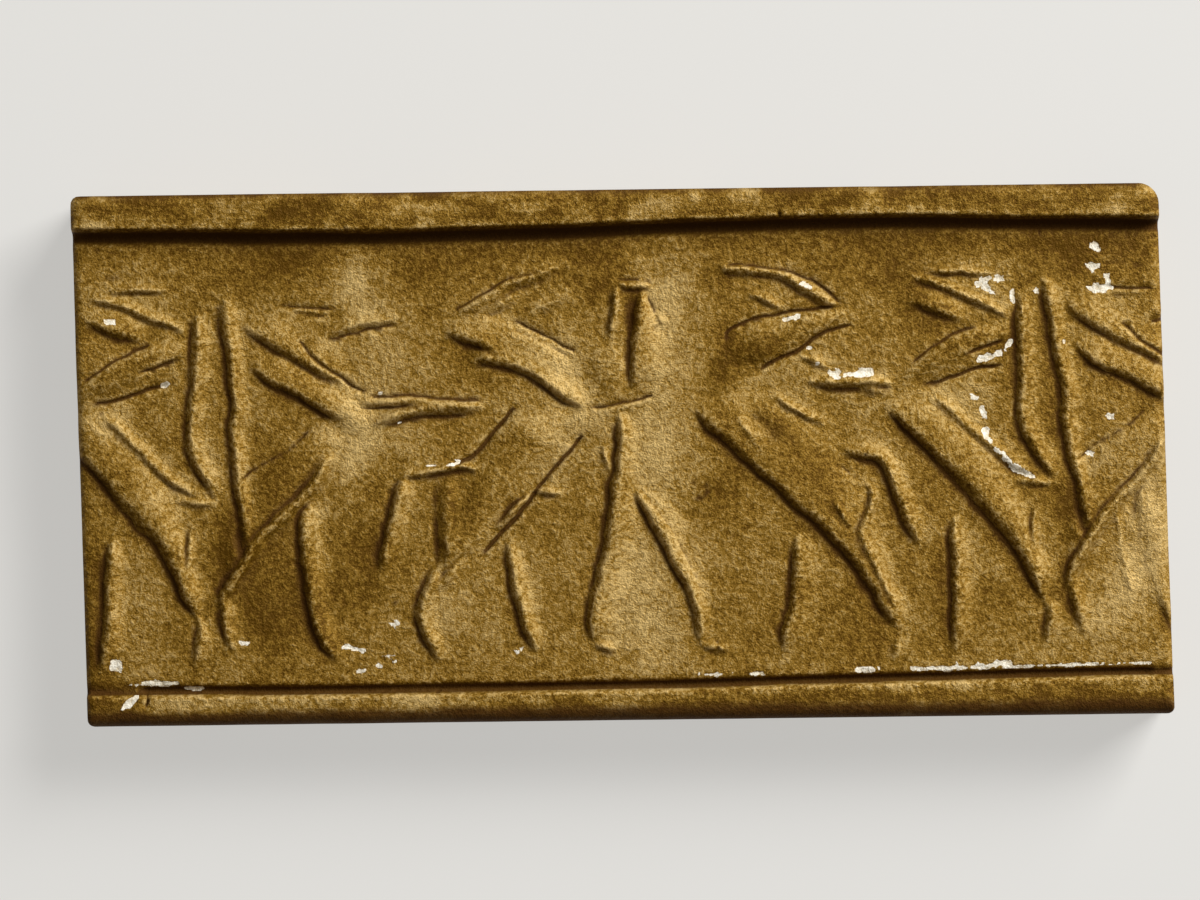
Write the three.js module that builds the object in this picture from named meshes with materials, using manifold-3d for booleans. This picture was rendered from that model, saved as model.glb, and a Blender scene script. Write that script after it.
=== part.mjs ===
// Flat cast of the impression of a cylinder seal: a plaster slab that carries, between two raised
// rims, the seal's scene in low relief. Millimetres, +Z up. The slab lies on its back with the
// origin under its middle, +X along the direction that the seal rolled and +Y to the scene's top.

import * as THREE from "three";
import { mergeVertices } from "three/addons/utils/BufferGeometryUtils.js";
import Module from "manifold-3d";

const wasm = await Module();
wasm.setup();

// The seal that made the impression
const SEAL_LENGTH = 23.6;
const SEAL_DIAMETER = 13.48;
const SEAL_TAPER = 0.089;
const ROLL_TILT = THREE.MathUtils.degToRad(0.66);

// The slab
const SLAB_LENGTH = 55.1;
const FIELD_THICKNESS = 4.2;
const TOP_RIM_WIDTH = 1.65;
const TOP_RIM_RISE = 0.8;
const TOP_RIM_WAVE = 0.2;
const WAVE_LENGTH_SHARE = 0.65;
const FOOT_RIM_WIDTH = 1.65;
const FOOT_RIM_RISE = 0.35;
const FOOT_RIM_ROUND = 0.7;
const FOOT_GROOVE_WIDTH = 0.5;
const FOOT_GROOVE_DEPTH = 0.35;
const RIM_WALL_RUN = 0.25;
const END_SKEW = 0.54;
const EDGE_ROUND = 0.2;
const CORNER_ROUND = 0.45;
const WORN_CORNER_ROUND = 1.0;

// How the relief is built
const DRAWING_LENGTH = 23.6;
const SEAT = 0.12;
const STATION_STEP = 2;
const CREST_SHOULDERS = [0.5];
const MASS_SHOULDERS = [0.4, 0.75];
const MASS_ROUNDNESS = 1.5;
const TAIL = 1.5;
const NARROW_END = 0.3;
const LOW_END = 0.05;
const GROOVE_FLARE = 1.3;

const SLAB_WIDTH = SEAL_LENGTH + TOP_RIM_WIDTH + FOOT_RIM_WIDTH;
const BAND_CENTRE_Y = (FOOT_RIM_WIDTH - TOP_RIM_WIDTH) / 2;
const SLAB_TOP = FIELD_THICKNESS + TOP_RIM_RISE;
const LAP = Math.PI * SEAL_DIAMETER;
const DRAWING_SCALE = SEAL_LENGTH / DRAWING_LENGTH;

// Closed geometry to a solid for joining and cutting, and back
function toSolid(geometry) {
  const bare = geometry.clone();
  bare.deleteAttribute("normal");
  bare.deleteAttribute("uv");
  const merged = mergeVertices(bare, 1e-5);
  return new wasm.Manifold(new wasm.Mesh({
    numProp: 3,
    vertProperties: new Float32Array(merged.attributes.position.array),
    triVerts: new Uint32Array(merged.index.array),
  }));
}

function toGeometry(solid) {
  const mesh = solid.getMesh();
  const geometry = new THREE.BufferGeometry();
  const positions = new Float32Array(mesh.vertProperties);
  geometry.setAttribute("position", new THREE.BufferAttribute(positions, 3));
  geometry.setIndex(new THREE.BufferAttribute(new Uint32Array(mesh.triVerts), 1));
  geometry.computeVertexNormals();
  return geometry;
}

function joined(solids) {
  let pending = solids;
  while (pending.length > 1) {
    const next = [];
    for (let i = 0; i < pending.length; i += 2) {
      next.push(i + 1 < pending.length ? pending[i].add(pending[i + 1]) : pending[i]);
    }
    pending = next;
  }
  return pending[0];
}

// Skin over rings of points, which run clockwise seen from the far end, closed by a fan at each end
function loft(rings) {
  const around = rings[0].length;
  const positions = rings.flat().flatMap((point) => [point.x, point.y, point.z]);
  const index = [];
  for (let r = 0; r + 1 < rings.length; r += 1) {
    for (let i = 0; i < around; i += 1) {
      const a = r * around + i;
      const b = r * around + ((i + 1) % around);
      index.push(a, b + around, b, a, a + around, b + around);
    }
  }
  const last = (rings.length - 1) * around;
  for (let i = 1; i + 1 < around; i += 1) {
    index.push(0, i, i + 1, last, last + i + 1, last + i);
  }
  const geometry = new THREE.BufferGeometry();
  geometry.setAttribute("position", new THREE.Float32BufferAttribute(positions, 3));
  geometry.setIndex(index);
  return geometry;
}

// A point of the seal's drawing, in its own millimetres, to its place on the slab
function onSlab(u, v, lap) {
  const across = v * DRAWING_SCALE;
  const along = u * DRAWING_SCALE + lap * (LAP - SEAL_TAPER * across);
  return new THREE.Vector2(
    along * Math.cos(ROLL_TILT) - across * Math.sin(ROLL_TILT),
    along * Math.sin(ROLL_TILT) + across * Math.cos(ROLL_TILT) + BAND_CENTRE_Y,
  );
}

// A value given once for a whole ridge, or as a few values spread evenly along it
function alongRidge(value, share) {
  if (typeof value === "number") return value;
  const place = share * (value.length - 1);
  const before = Math.min(Math.floor(place), value.length - 2);
  return THREE.MathUtils.lerp(value[before], value[before + 1], place - before);
}

// Distances along a ridge at which it gets a section, closer together where its ends run out
function stations(length, runOut) {
  const middle = length - 2 * runOut;
  const steps = Math.max(1, Math.round(middle / STATION_STEP));
  const places = [0, runOut / 4];
  for (let i = 0; i <= steps; i += 1) places.push(runOut + (middle * i) / steps);
  places.push(length - runOut / 4, length);
  return places;
}

// One cut of the seal, which stands out as a ridge. Left and right are its half widths on either
// side of its crest, looking along it: the right side is the steep one, and the left side runs out
// gently. Roundness is 1 for a sharp crest, and from 1.5 the ridge is a broad mass with even sides.
function ridge({ path, left, right, rise, roundness = 1, runOut = 1.2 }, lap) {
  const curve = new THREE.SplineCurve(path.map(([u, v]) => onSlab(u, v, lap)));
  curve.arcLengthDivisions = 20 * path.length;
  const length = curve.getLength();
  const ends = Math.min(runOut, length * 0.45);
  const broad = roundness >= MASS_ROUNDNESS;
  const shoulders = broad ? MASS_SHOULDERS : CREST_SHOULDERS;
  const steps = [-1, ...shoulders.map((s) => -s).reverse(), 0, ...shoulders, 1];
  const rings = stations(length, ends).map((distance) => {
    const share = distance / length;
    const fade = Math.min(1, Math.min(distance, length - distance) / ends) ** 0.7;
    const centre = curve.getPointAt(share);
    const tangent = curve.getTangentAt(share);
    return steps.map((step) => {
      const tail = step > 0 && !broad ? TAIL : 1;
      const half = alongRidge(step < 0 ? right : left, share) * tail * DRAWING_SCALE;
      const offset = step * half * (NARROW_END + (1 - NARROW_END) * fade);
      const crest = THREE.MathUtils.smoothstep(1 - Math.abs(step) ** roundness, 0, 1) ** tail;
      const level = Math.abs(step) === 1 ? -SEAT : rise * crest * (LOW_END + (1 - LOW_END) * fade);
      return new THREE.Vector3(
        centre.x - tangent.y * offset,
        centre.y + tangent.x * offset,
        FIELD_THICKNESS + level,
      );
    });
  });
  return toSolid(loft(rings));
}

// One sunk line, which also runs through any mass that it crosses: a tool to cut with, whose
// negative rise is the depth of the line below the field
function groove({ path, left, right, rise, runOut }, lap) {
  const curve = new THREE.SplineCurve(path.map(([u, v]) => onSlab(u, v, lap)));
  curve.arcLengthDivisions = 20 * path.length;
  const length = curve.getLength();
  const ends = Math.min(runOut, length * 0.45);
  const rings = stations(length, ends).map((distance) => {
    const fade = Math.min(1, Math.min(distance, length - distance) / ends) ** 0.7;
    const centre = curve.getPointAt(distance / length);
    const tangent = curve.getTangentAt(distance / length);
    const width = NARROW_END + (1 - NARROW_END) * fade;
    const section = [
      [left * GROOVE_FLARE, TOP_RIM_RISE], [left, 0], [0, rise * width], [-right, 0],
      [-right * GROOVE_FLARE, TOP_RIM_RISE],
    ];
    return section.map(([offset, level]) => new THREE.Vector3(
      centre.x - tangent.y * offset * width * DRAWING_SCALE,
      centre.y + tangent.x * offset * width * DRAWING_SCALE,
      FIELD_THICKNESS + level,
    ));
  });
  return toSolid(loft(rings));
}

// The figures of one turn of the seal, from left to right
function staffs() {
  return [
    { path: [[-21.2, 7.9], [-21.8, 1], [-20.55, -1.8]], left: 0.75, right: 0.42, rise: 0.3 },
    {
      path: [[-19.95, 8.7], [-19.45, 2.8], [-19.65, 1.6], [-19.5, -1], [-18.95, -4.3]],
      left: 0.6, right: 0.42, rise: 0.3,
    },
  ];
}

function outerLeftBeast() {
  const neck = [
    { path: [[-18.7, 6.95], [-13.9, 3.9]], left: 0.9, right: 0.4, rise: 0.32 },
    { path: [[-18.4, 4.85], [-14.1, 2.25]], left: 1, right: 0.42, rise: 0.38 },
  ];
  const body = [
    { path: [[-15.4, 3.7], [-13, 1.7]], left: 0.8, right: 0.9, rise: 0.2, roundness: 1.6 },
    {
      path: [[-14, 1.6], [-17.6, -2.2], [-20.3, -6.3]],
      left: 0.5, right: [0.9, 1.9, 2, 1.4, 0.6], rise: 0.22, roundness: 1.6, runOut: 2,
    },
    {
      path: [[-14.6, 0.6], [-16.5, -1.9], [-19.2, -4.8], [-20.2, -6.2], [-20.6, -7.3]],
      left: 0.3, right: 0.35, rise: 0.36,
    },
  ];
  const forelegs = [
    { path: [[-13.2, 3.1], [-6.7, 2.65]], left: 0.2, right: 0.3, rise: 0.2 },
    { path: [[-12.7, 2], [-10.3, 2.55], [-7, 2.6]], left: 0.3, right: 0.42, rise: 0.3 },
  ];
  const hindLegs = [
    { path: [[-20.5, -6.6], [-20.3, -9.6]], left: 0.5, right: 0.35, rise: 0.2 },
    {
      path: [[-15.9, -2], [-16.25, -3], [-16, -6.5], [-15.75, -8], [-14.6, -10.1]],
      left: 0.6, right: 0.42, rise: 0.3,
    },
  ];
  const ears = [
    { path: [[-15.2, 6.5], [-12, 7.15], [-11, 7.1]], left: 0.3, right: 0.2, rise: 0.14 },
  ];
  return [...neck, ...body, ...forelegs, ...hindLegs, ...ears];
}

function innerLeftBeast() {
  const body = [
    {
      path: [[-2.9, 2.2], [-5, 0.2], [-6.6, -1.8], [-9.3, -6]],
      left: [0.9, 1, 1, 0.7, 0.3],
      right: [1.3, 1.9, 1.9, 1.2, 0.4],
      rise: 0.26, roundness: 1.6, runOut: 2,
    },
    { path: [[-1.85, 1.2], [-7.3, -5]], left: 0.16, right: 0.16, rise: -0.2, runOut: 0.6 },
    { path: [[-4.75, -1.75], [-6.5, -3.7]], left: 0.2, right: 0.2, rise: 0.34 },
    { path: [[-8.1, -4.95], [-9.9, -6.85]], left: 0.3, right: 0.3, rise: 0.25 },
  ];
  const forelegs = [
    { path: [[-4.7, -1.65], [-3, -1.95]], left: 0.25, right: 0.25, rise: 0.22 },
    { path: [[-11.3, -0.85], [-7.9, -0.35], [-7, -0.7]], left: 0.22, right: 0.26, rise: 0.24 },
    { path: [[-11, -0.8], [-12.4, -5.6]], left: 0.45, right: 0.42, rise: 0.32, runOut: 0.8 },
    { path: [[-8.95, -0.9], [-9.2, -5.9]], left: 0.6, right: 0.6, rise: 0.26 },
  ];
  const hindLegs = [
    {
      path: [[-9.5, -5.2], [-10.5, -7.5], [-10.4, -8.4], [-9.7, -10.1]],
      left: 0.55, right: 0.42, rise: 0.3,
    },
    { path: [[-5.9, -4.1], [-5.55, -7], [-4.75, -9.6]], left: 0.45, right: 0.45, rise: 0.3 },
  ];
  return [...body, ...forelegs, ...hindLegs];
}

function wingedFigure() {
  const head = [
    { path: [[-0.1, 8.7], [-0.6, 6.1]], left: 0.2, right: 0.25, rise: 0.25, runOut: 0.5 },
    { path: [[-0.15, 8.62], [1.75, 8.68]], left: 0.2, right: 0.25, rise: 0.25, runOut: 0.4 },
    { path: [[1.45, 8.5], [1.5, 7.8], [2.15, 6.7]], left: 0.2, right: 0.15, rise: 0.22, runOut: 0.5 },
    { path: [[1.5, 6.5], [2.1, 6.6]], left: 0.15, right: 0.15, rise: 0.12, runOut: 0.3 },
  ];
  const trunk = [
    { path: [[1.25, 8.4], [0.6, 3.3]], left: [0.25, 0.4, 0.9, 1.3, 1.2, 0.8], right: 0.45, rise: 0.32 },
    { path: [[-0.9, 5.9], [-0.1, 2.8]], left: 1, right: 1.1, rise: 0.14, roundness: 2 },
    { path: [[-1.9, 2.2], [0, 2.3], [1.9, 2.75]], left: 0.2, right: 0.25, rise: 0.14 },
  ];
  const legs = [
    {
      path: [[-0.05, 2.1], [-0.55, -3], [-1.8, -8.2], [-1.85, -9.4]],
      left: [0.4, 0.5, 0.6, 0.9, 0.9, 0.8, 0.8],
      right: [0.4, 0.4, 0.5, 0.65, 0.7, 0.6],
      rise: 0.34, runOut: 0.9,
    },
    { path: [[-1.05, 1], [-0.65, -1.1]], left: 0.2, right: 0.2, rise: 0.16 },
    { path: [[-1.75, -9.35], [-0.35, -9.65]], left: 0.25, right: 0.2, rise: 0.16, runOut: 0.5 },
    {
      path: [[0.65, -1.55], [3.5, -7.4], [3.7, -9.3]],
      left: [0.5, 0.75, 0.75, 0.6, 0.4, 0.35, 0.3], right: 0.42, rise: 0.31,
    },
    { path: [[3.6, -9.45], [5.3, -9.95]], left: 0.2, right: 0.2, rise: 0.16, runOut: 0.5 },
  ];
  return [...head, ...trunk, ...legs, ...leftWing(), ...rightWing()];
}

function leftWing() {
  return [
    {
      path: [[-8.8, 6.9], [-6.8, 6.6], [-2.5, 4.2]],
      left: 0.9, right: 0.9, rise: 0.24, roundness: 1.8, runOut: 1.8,
    },
    { path: [[-8.5, 7.15], [-5.7, 8.85], [-2.8, 9.7]], left: 0.25, right: 0.5, rise: 0.22 },
    { path: [[-8.1, 7.2], [-4.9, 8.3]], left: 0.6, right: 0.5, rise: 0.16 },
    { path: [[-4.8, 7.25], [-2.3, 8.45]], left: 0.2, right: 0.4, rise: 0.15 },
    {
      path: [[-5.1, 6.95], [-3.6, 6.35], [-2.1, 5.35]],
      left: 0.13, right: 0.13, rise: -0.15, runOut: 0.6,
    },
    { path: [[-8.9, 6.5], [-5.7, 5.3]], left: 0.6, right: 0.4, rise: 0.3 },
    {
      path: [[-7.5, 5], [-6.2, 5.08], [-5.3, 4.75], [-1.85, 2.45]],
      left: 0.6, right: 0.42, rise: 0.36, runOut: 0.8,
    },
  ];
}

function rightWing() {
  return [
    { path: [[5.15, 9.42], [8, 9.12], [11.1, 7.35]], left: 0.25, right: 0.38, rise: 0.32, runOut: 0.5 },
    { path: [[6.3, 8.15], [8.5, 7.2]], left: 0.25, right: 0.3, rise: 0.22 },
    {
      path: [[5.4, 5.1], [7, 5.4], [11.6, 7.1]],
      left: [0.9, 1.15, 0.95, 0.6, 0.3],
      right: [0.8, 1.1, 0.8, 0.5, 0.3],
      rise: 0.26, roundness: 2, runOut: 1.8,
    },
    {
      path: [[5.3, 5.5], [5.5, 6.2], [6.4, 6.6], [11.3, 7.42]],
      left: 0.13, right: 0.13, rise: -0.17, runOut: 0.6,
    },
    { path: [[6.8, 4.05], [10.5, 6.05], [12, 6.5]], left: 0.14, right: 0.14, rise: -0.18, runOut: 0.6 },
    { path: [[9.1, 5], [10.6, 4.1]], left: 0.2, right: 0.25, rise: 0.2 },
  ];
}

function innerRightBeast() {
  const body = [
    {
      path: [[4.2, 1.85], [6.1, 0.3], [11.2, -4.7], [12.1, -5.8], [13.9, -9.1]],
      left: [0.8, 2, 2.6, 2.6, 2.2, 1.4, 0.7, 0.5, 0.4], right: 0.55, rise: 0.42, roundness: 1.2,
    },
    {
      path: [[12.1, -1.5], [12.55, -2.3], [12.1, -4.4], [13.8, -8.3]],
      left: 0.25, right: 0.25, rise: 0.25,
    },
    { path: [[10.4, -2.3], [11.7, -4.2]], left: 0.2, right: 0.2, rise: 0.3 },
  ];
  const forelegs = [
    { path: [[7.4, 3.05], [10.5, 1.15]], left: 0.25, right: 0.25, rise: 0.2 },
    { path: [[11, 0.1], [13.1, -0.5], [14.95, -5.1]], left: 0.45, right: 0.42, rise: 0.3 },
  ];
  const hindLegs = [
    { path: [[8.75, -4.1], [8.65, -7.4], [7.9, -10.3]], left: 0.7, right: 0.45, rise: 0.28 },
    { path: [[13.85, -9.3], [13.6, -11]], left: 0.3, right: 0.35, rise: 0.15 },
  ];
  return [...body, ...forelegs, ...hindLegs];
}

function outerRightBeast() {
  const body = [
    {
      path: [[13.5, 2.15], [18.3, -2.4], [20.1, -5], [21.3, -7.8]],
      left: [0.9, 1.5, 1.6, 1.4, 1.1, 0.8, 0.6, 0.5, 0.3],
      right: [0.4, 0.45, 0.6, 0.75, 0.8, 0.7, 0.6, 0.5, 0.35],
      rise: 0.48, roundness: 1.2,
    },
    { path: [[15.6, 2.9], [19.5, -0.75], [20.9, -1.6]], left: 0.3, right: 0.35, rise: 0.26 },
    { path: [[19.6, -1.75], [22.2, -2]], left: 0.2, right: 0.25, rise: 0.18 },
    { path: [[20.75, -3], [20.9, -6]], left: 0.25, right: 0.2, rise: 0.12 },
  ];
  const legs = [
    { path: [[21.2, -7.6], [21.6, -8.4], [21.3, -10.3]], left: 0.3, right: 0.42, rise: 0.25 },
    { path: [[16.75, -3.4], [16.9, -7.8], [16.6, -10.4]], left: 0.45, right: 0.45, rise: 0.3 },
    { path: [[9.3, 3.65], [13.9, 3.25]], left: 0.3, right: 0.42, rise: 0.32 },
    { path: [[11.8, 3.1], [13.7, 2.75]], left: 0.2, right: 0.25, rise: 0.2 },
  ];
  const neck = [
    {
      path: [[14.2, 3.5], [16.4, 4.8], [19.9, 5.9]],
      left: [0.5, 1, 0.6], right: [0.5, 1, 0.6], rise: 0.22, roundness: 2, runOut: 1.8,
    },
    { path: [[14.4, 7.6], [17.7, 6.4]], left: 0.7, right: 0.4, rise: 0.32 },
    {
      path: [[18.1, 6.15], [16.8, 5.65], [14.6, 4.2]],
      left: 0.14, right: 0.14, rise: -0.16, runOut: 0.6,
    },
    { path: [[17.3, 4.65], [19.6, 5.4]], left: 0.13, right: 0.13, rise: -0.18, runOut: 0.6 },
    { path: [[15.2, 3.2], [19.4, 4.2]], left: 0.15, right: 0.15, rise: -0.2, runOut: 0.6 },
  ];
  const horns = [
    { path: [[15.4, 8.95], [19.1, 8.8]], left: 0.2, right: 0.22, rise: 0.2 },
    { path: [[14.4, 8.75], [15.8, 8.4], [19.9, 6.65]], left: 0.25, right: 0.35, rise: 0.28 },
  ];
  return [...body, ...legs, ...neck, ...horns];
}

// The scene, turn after turn, as far as the slab reaches: its raised cuts, or its sunk lines
function relief(make, wanted) {
  const drawing = [
    ...staffs(), ...outerLeftBeast(), ...innerLeftBeast(),
    ...wingedFigure(), ...innerRightBeast(), ...outerRightBeast(),
  ].filter(wanted);
  const laps = Math.ceil(SLAB_LENGTH / 2 / LAP);
  const cuts = [];
  for (let lap = -laps; lap <= laps; lap += 1) {
    for (const stroke of drawing) {
      const reach = stroke.path.map(([u, v]) => Math.abs(onSlab(u, v, lap).x));
      if (Math.min(...reach) < SLAB_LENGTH / 2) cuts.push(make(stroke, lap));
    }
  }
  return joined(cuts);
}

// Plan of the slab: its ends lean, and one corner is worn round
function slabOutline() {
  const halfLength = SLAB_LENGTH / 2;
  const halfWidth = SLAB_WIDTH / 2;
  const lean = END_SKEW / 2;
  const corners = [
    { at: new THREE.Vector2(-halfLength - lean, halfWidth), round: CORNER_ROUND },
    { at: new THREE.Vector2(-halfLength + lean, -halfWidth), round: CORNER_ROUND },
    { at: new THREE.Vector2(halfLength + lean, -halfWidth), round: CORNER_ROUND },
    { at: new THREE.Vector2(halfLength - lean, halfWidth), round: WORN_CORNER_ROUND },
  ];
  const shape = new THREE.Shape();
  corners.forEach(({ at, round }, i) => {
    const before = corners[(i + 3) % 4].at;
    const after = corners[(i + 1) % 4].at;
    const start = at.clone().add(before.clone().sub(at).setLength(round));
    const end = at.clone().add(after.clone().sub(at).setLength(round));
    if (i === 0) shape.moveTo(start.x, start.y);
    else shape.lineTo(start.x, start.y);
    shape.quadraticCurveTo(at.x, at.y, end.x, end.y);
  });
  shape.closePath();
  return shape;
}

function blank() {
  const geometry = new THREE.ExtrudeGeometry(slabOutline(), {
    depth: SLAB_TOP - 2 * EDGE_ROUND,
    bevelEnabled: true,
    bevelThickness: EDGE_ROUND,
    bevelSize: EDGE_ROUND,
    bevelOffset: -EDGE_ROUND,
    bevelSegments: 2,
    curveSegments: 4,
  });
  geometry.translate(0, 0, EDGE_ROUND);
  return toSolid(geometry);
}

// Section across the slab at x: rounded foot rim, its groove, the field and the wall of the top rim
function slabSection(x) {
  const slope = x * Math.sin(ROLL_TILT);
  const waveLength = WAVE_LENGTH_SHARE * SLAB_LENGTH;
  const wave = TOP_RIM_WAVE * Math.cos((2 * Math.PI * (x + SLAB_LENGTH / 2)) / waveLength);
  const halfWidth = SLAB_WIDTH / 2;
  const fieldTop = BAND_CENTRE_Y + SEAL_LENGTH / 2 + slope + wave;
  const fieldFoot = BAND_CENTRE_Y - SEAL_LENGTH / 2 + FOOT_GROOVE_WIDTH + slope;
  const footRimTop = FIELD_THICKNESS + FOOT_RIM_RISE;
  const section = [[-halfWidth - 1, -1], [-halfWidth - 1, footRimTop - FOOT_RIM_ROUND]];
  const steps = 3;
  for (let i = 0; i <= steps; i += 1) {
    const angle = (i / steps) * (Math.PI / 2);
    section.push([
      -halfWidth + FOOT_RIM_ROUND * (1 - Math.cos(angle)),
      footRimTop - FOOT_RIM_ROUND * (1 - Math.sin(angle)),
    ]);
  }
  section.push(
    [fieldFoot - FOOT_GROOVE_WIDTH, footRimTop],
    [fieldFoot - FOOT_GROOVE_WIDTH / 2, FIELD_THICKNESS - FOOT_GROOVE_DEPTH],
    [fieldFoot, FIELD_THICKNESS],
    [fieldTop - RIM_WALL_RUN, FIELD_THICKNESS],
    [fieldTop, SLAB_TOP + SEAT],
    [halfWidth + 1, SLAB_TOP + SEAT],
    [halfWidth + 1, -1],
  );
  return section.map(([y, z]) => new THREE.Vector3(x, y, z));
}

function slab() {
  const reach = SLAB_LENGTH / 2 + END_SKEW + 1;
  const steps = 16;
  const rings = [];
  for (let i = 0; i <= steps; i += 1) rings.push(slabSection(-reach + (2 * reach * i) / steps));
  return blank().intersect(toSolid(loft(rings)));
}

const paintedPlaster = new THREE.MeshStandardMaterial({
  name: "bronze_painted_plaster", color: 0x9c7638, roughness: 0.5, metalness: 0.4,
});

const raised = relief(ridge, (cut) => cut.rise > 0).intersect(blank());
const sunk = relief(groove, (cut) => cut.rise < 0);
const cast = new THREE.Mesh(toGeometry(slab().add(raised).subtract(sunk)), paintedPlaster);
cast.name = "impression_cast";

const model = new THREE.Group();
model.add(cast);

export default model;
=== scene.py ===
import math

import bmesh
import bpy
import numpy as np
from bpy.props import FloatProperty, FloatVectorProperty, IntProperty, PointerProperty
from mathutils import Matrix, Vector


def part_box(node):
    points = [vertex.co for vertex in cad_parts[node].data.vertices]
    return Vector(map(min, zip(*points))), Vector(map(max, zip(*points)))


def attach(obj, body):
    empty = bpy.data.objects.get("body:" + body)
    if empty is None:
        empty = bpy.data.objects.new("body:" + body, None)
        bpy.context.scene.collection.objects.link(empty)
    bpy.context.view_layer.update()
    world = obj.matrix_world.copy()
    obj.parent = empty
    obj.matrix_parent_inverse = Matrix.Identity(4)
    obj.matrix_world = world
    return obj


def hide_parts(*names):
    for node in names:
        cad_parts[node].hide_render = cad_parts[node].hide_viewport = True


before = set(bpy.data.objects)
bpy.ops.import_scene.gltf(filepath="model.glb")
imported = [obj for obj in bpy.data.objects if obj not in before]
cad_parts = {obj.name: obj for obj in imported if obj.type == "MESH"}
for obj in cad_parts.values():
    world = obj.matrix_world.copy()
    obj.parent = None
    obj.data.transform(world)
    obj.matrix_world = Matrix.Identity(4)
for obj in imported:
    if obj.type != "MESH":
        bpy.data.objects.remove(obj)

bl_info = {
    "name": "Cylinder seal impression cast",
    "version": (1, 0, 0),
    "blender": (4, 5, 0),
    "location": "View3D > Sidebar > Impression",
    "description": "Builds a bronze-painted plaster cast of a rolled seal impression, on a studio floor",
    "category": "Add Mesh",
}

CAST_NODE = "impression_cast"
CAST_LOW, CAST_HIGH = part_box(CAST_NODE)
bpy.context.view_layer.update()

# All of the relief is worked out in millimetres and made metres at the end
MM = 0.001

# How far the top rim stands above the field
TOP_RIM_RISE = 0.8 * MM

# The seal is a little thinner at its top, so a turn is this much shorter for each millimetre up
SEAL_TAPER = 0.089

# The camera stood straight above this point of the slab, turned by this much, this far away
CAMERA_OVER = (-1.14 * MM, 0.28 * MM)
CAMERA_TURN = math.radians(-0.72)
CAMERA_DISTANCE = 300 * MM
VIEW_WIDTH = 60.85 * MM
SENSOR_WIDTH = 36.0


class CastSizes(bpy.types.PropertyGroup):
    """Sizes of the slab and of the seal that was rolled on it"""

    length: FloatProperty(
        name="Length", description="Length of the slab's box", unit="LENGTH",
        default=CAST_HIGH.x - CAST_LOW.x,
    )
    width: FloatProperty(
        name="Width", description="Width across both rims", unit="LENGTH",
        default=CAST_HIGH.y - CAST_LOW.y,
    )
    thickness: FloatProperty(
        name="Thickness", description="Thickness at the top rim", unit="LENGTH",
        default=CAST_HIGH.z - CAST_LOW.z,
    )
    top_rim_rise: FloatProperty(
        name="Top rim rise", description="Height of the top rim above the field", unit="LENGTH",
        default=TOP_RIM_RISE,
    )
    foot_rim_rise: FloatProperty(
        name="Foot rim rise", description="Height of the foot rim above the field", unit="LENGTH",
        default=0.35 * MM,
    )
    end_skew: FloatProperty(
        name="End skew", description="How far the slab's ends lean, over its width", unit="LENGTH",
        default=0.54 * MM,
    )
    seal_diameter: FloatProperty(
        name="Seal diameter", description="Thickness of the seal: one turn is pi times this",
        unit="LENGTH", default=13.48 * MM,
    )
    roll_tilt: FloatProperty(
        name="Roll tilt", description="How far the seal ran out of line with the slab",
        subtype="ANGLE", unit="ROTATION", default=math.radians(0.66),
    )
    raster_step: FloatProperty(
        name="Raster step", description="Spacing at which the relief is worked out", unit="LENGTH",
        default=0.05 * MM, precision=5,
    )
    coarse_cell: FloatProperty(
        name="Coarse cell", description="Mesh cell on the plain field", unit="LENGTH",
        default=0.245 * MM, precision=5,
    )
    seed: IntProperty(name="Seed", description="Seed of the wear and unevenness", default=7)


class CastColours(bpy.types.PropertyGroup):
    """Colours of the paint, the dirt and painted shade in it and the plaster under it"""

    bronze_light: FloatVectorProperty(
        name="Light bronze", description="Paint where it catches most light", subtype="COLOR",
        size=3, default=(0.63, 0.44, 0.165),
    )
    bronze: FloatVectorProperty(
        name="Bronze", description="Paint on the open field", subtype="COLOR",
        size=3, default=(0.288, 0.160, 0.018),
    )
    # Dark bronze is also where painted shade takes the paint, in the ridges' lee and below the top rim
    bronze_dark: FloatVectorProperty(
        name="Dark bronze", description="Paint where it is thin or soiled", subtype="COLOR",
        size=3, default=(0.12, 0.056, 0.001),
    )
    # This colour is also painted shade: the creases on the ridges' shaded sides, the hollows and the foot
    # edge's rounding take it
    dirt_and_shade: FloatVectorProperty(
        name="Dirt", description="What has settled in the recesses", subtype="COLOR",
        size=3, default=(0.064, 0.024, 0.001),
    )
    plaster: FloatVectorProperty(
        name="Plaster", description="The white body in chips and below", subtype="COLOR",
        size=3, default=(1.0, 0.96, 0.84),
    )
    plaster_dark: FloatVectorProperty(
        name="Soiled plaster", description="The body where it is soiled", subtype="COLOR",
        size=3, default=(0.72, 0.62, 0.44),
    )


class StageLook(bpy.types.PropertyGroup):
    """The floor and the lights"""

    floor: FloatVectorProperty(
        name="Floor", description="Colour of the plain floor", subtype="COLOR",
        size=3, default=(0.29, 0.29, 0.285),
    )
    floor_glow: FloatProperty(
        name="Floor glow", description="Light that the floor gives by itself, to keep shadows on it pale",
        default=0.5,
    )
    floor_glow_colour: FloatVectorProperty(
        name="Glow colour", description="Colour of the floor's own light", subtype="COLOR",
        size=3, default=(0.995, 0.985, 0.955),
    )
    key_power: FloatProperty(name="Key", description="Power of the key light in watts", default=4.3)
    key_colour: FloatVectorProperty(
        name="Key colour", description="Colour of the key light", subtype="COLOR",
        size=3, default=(1.0, 0.98, 0.95),
    )
    fill_power: FloatProperty(name="Fill", description="Power of the fill light in watts", default=0.12)
    sky: FloatProperty(name="Sky", description="Strength of the even light all round", default=0.12)
    sky_colour: FloatVectorProperty(
        name="Sky colour", description="Colour of the even light all round", subtype="COLOR",
        size=3, default=(1.0, 0.88, 0.68),
    )


def ridge(path, left, right, rise, roundness=1.0, run_out=1.2):
    """One cut of the seal, raised in the cast: half widths left and right of its crest"""
    return {
        "path": path, "left": left, "right": right, "rise": rise,
        "roundness": roundness, "run_out": run_out,
    }


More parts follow.
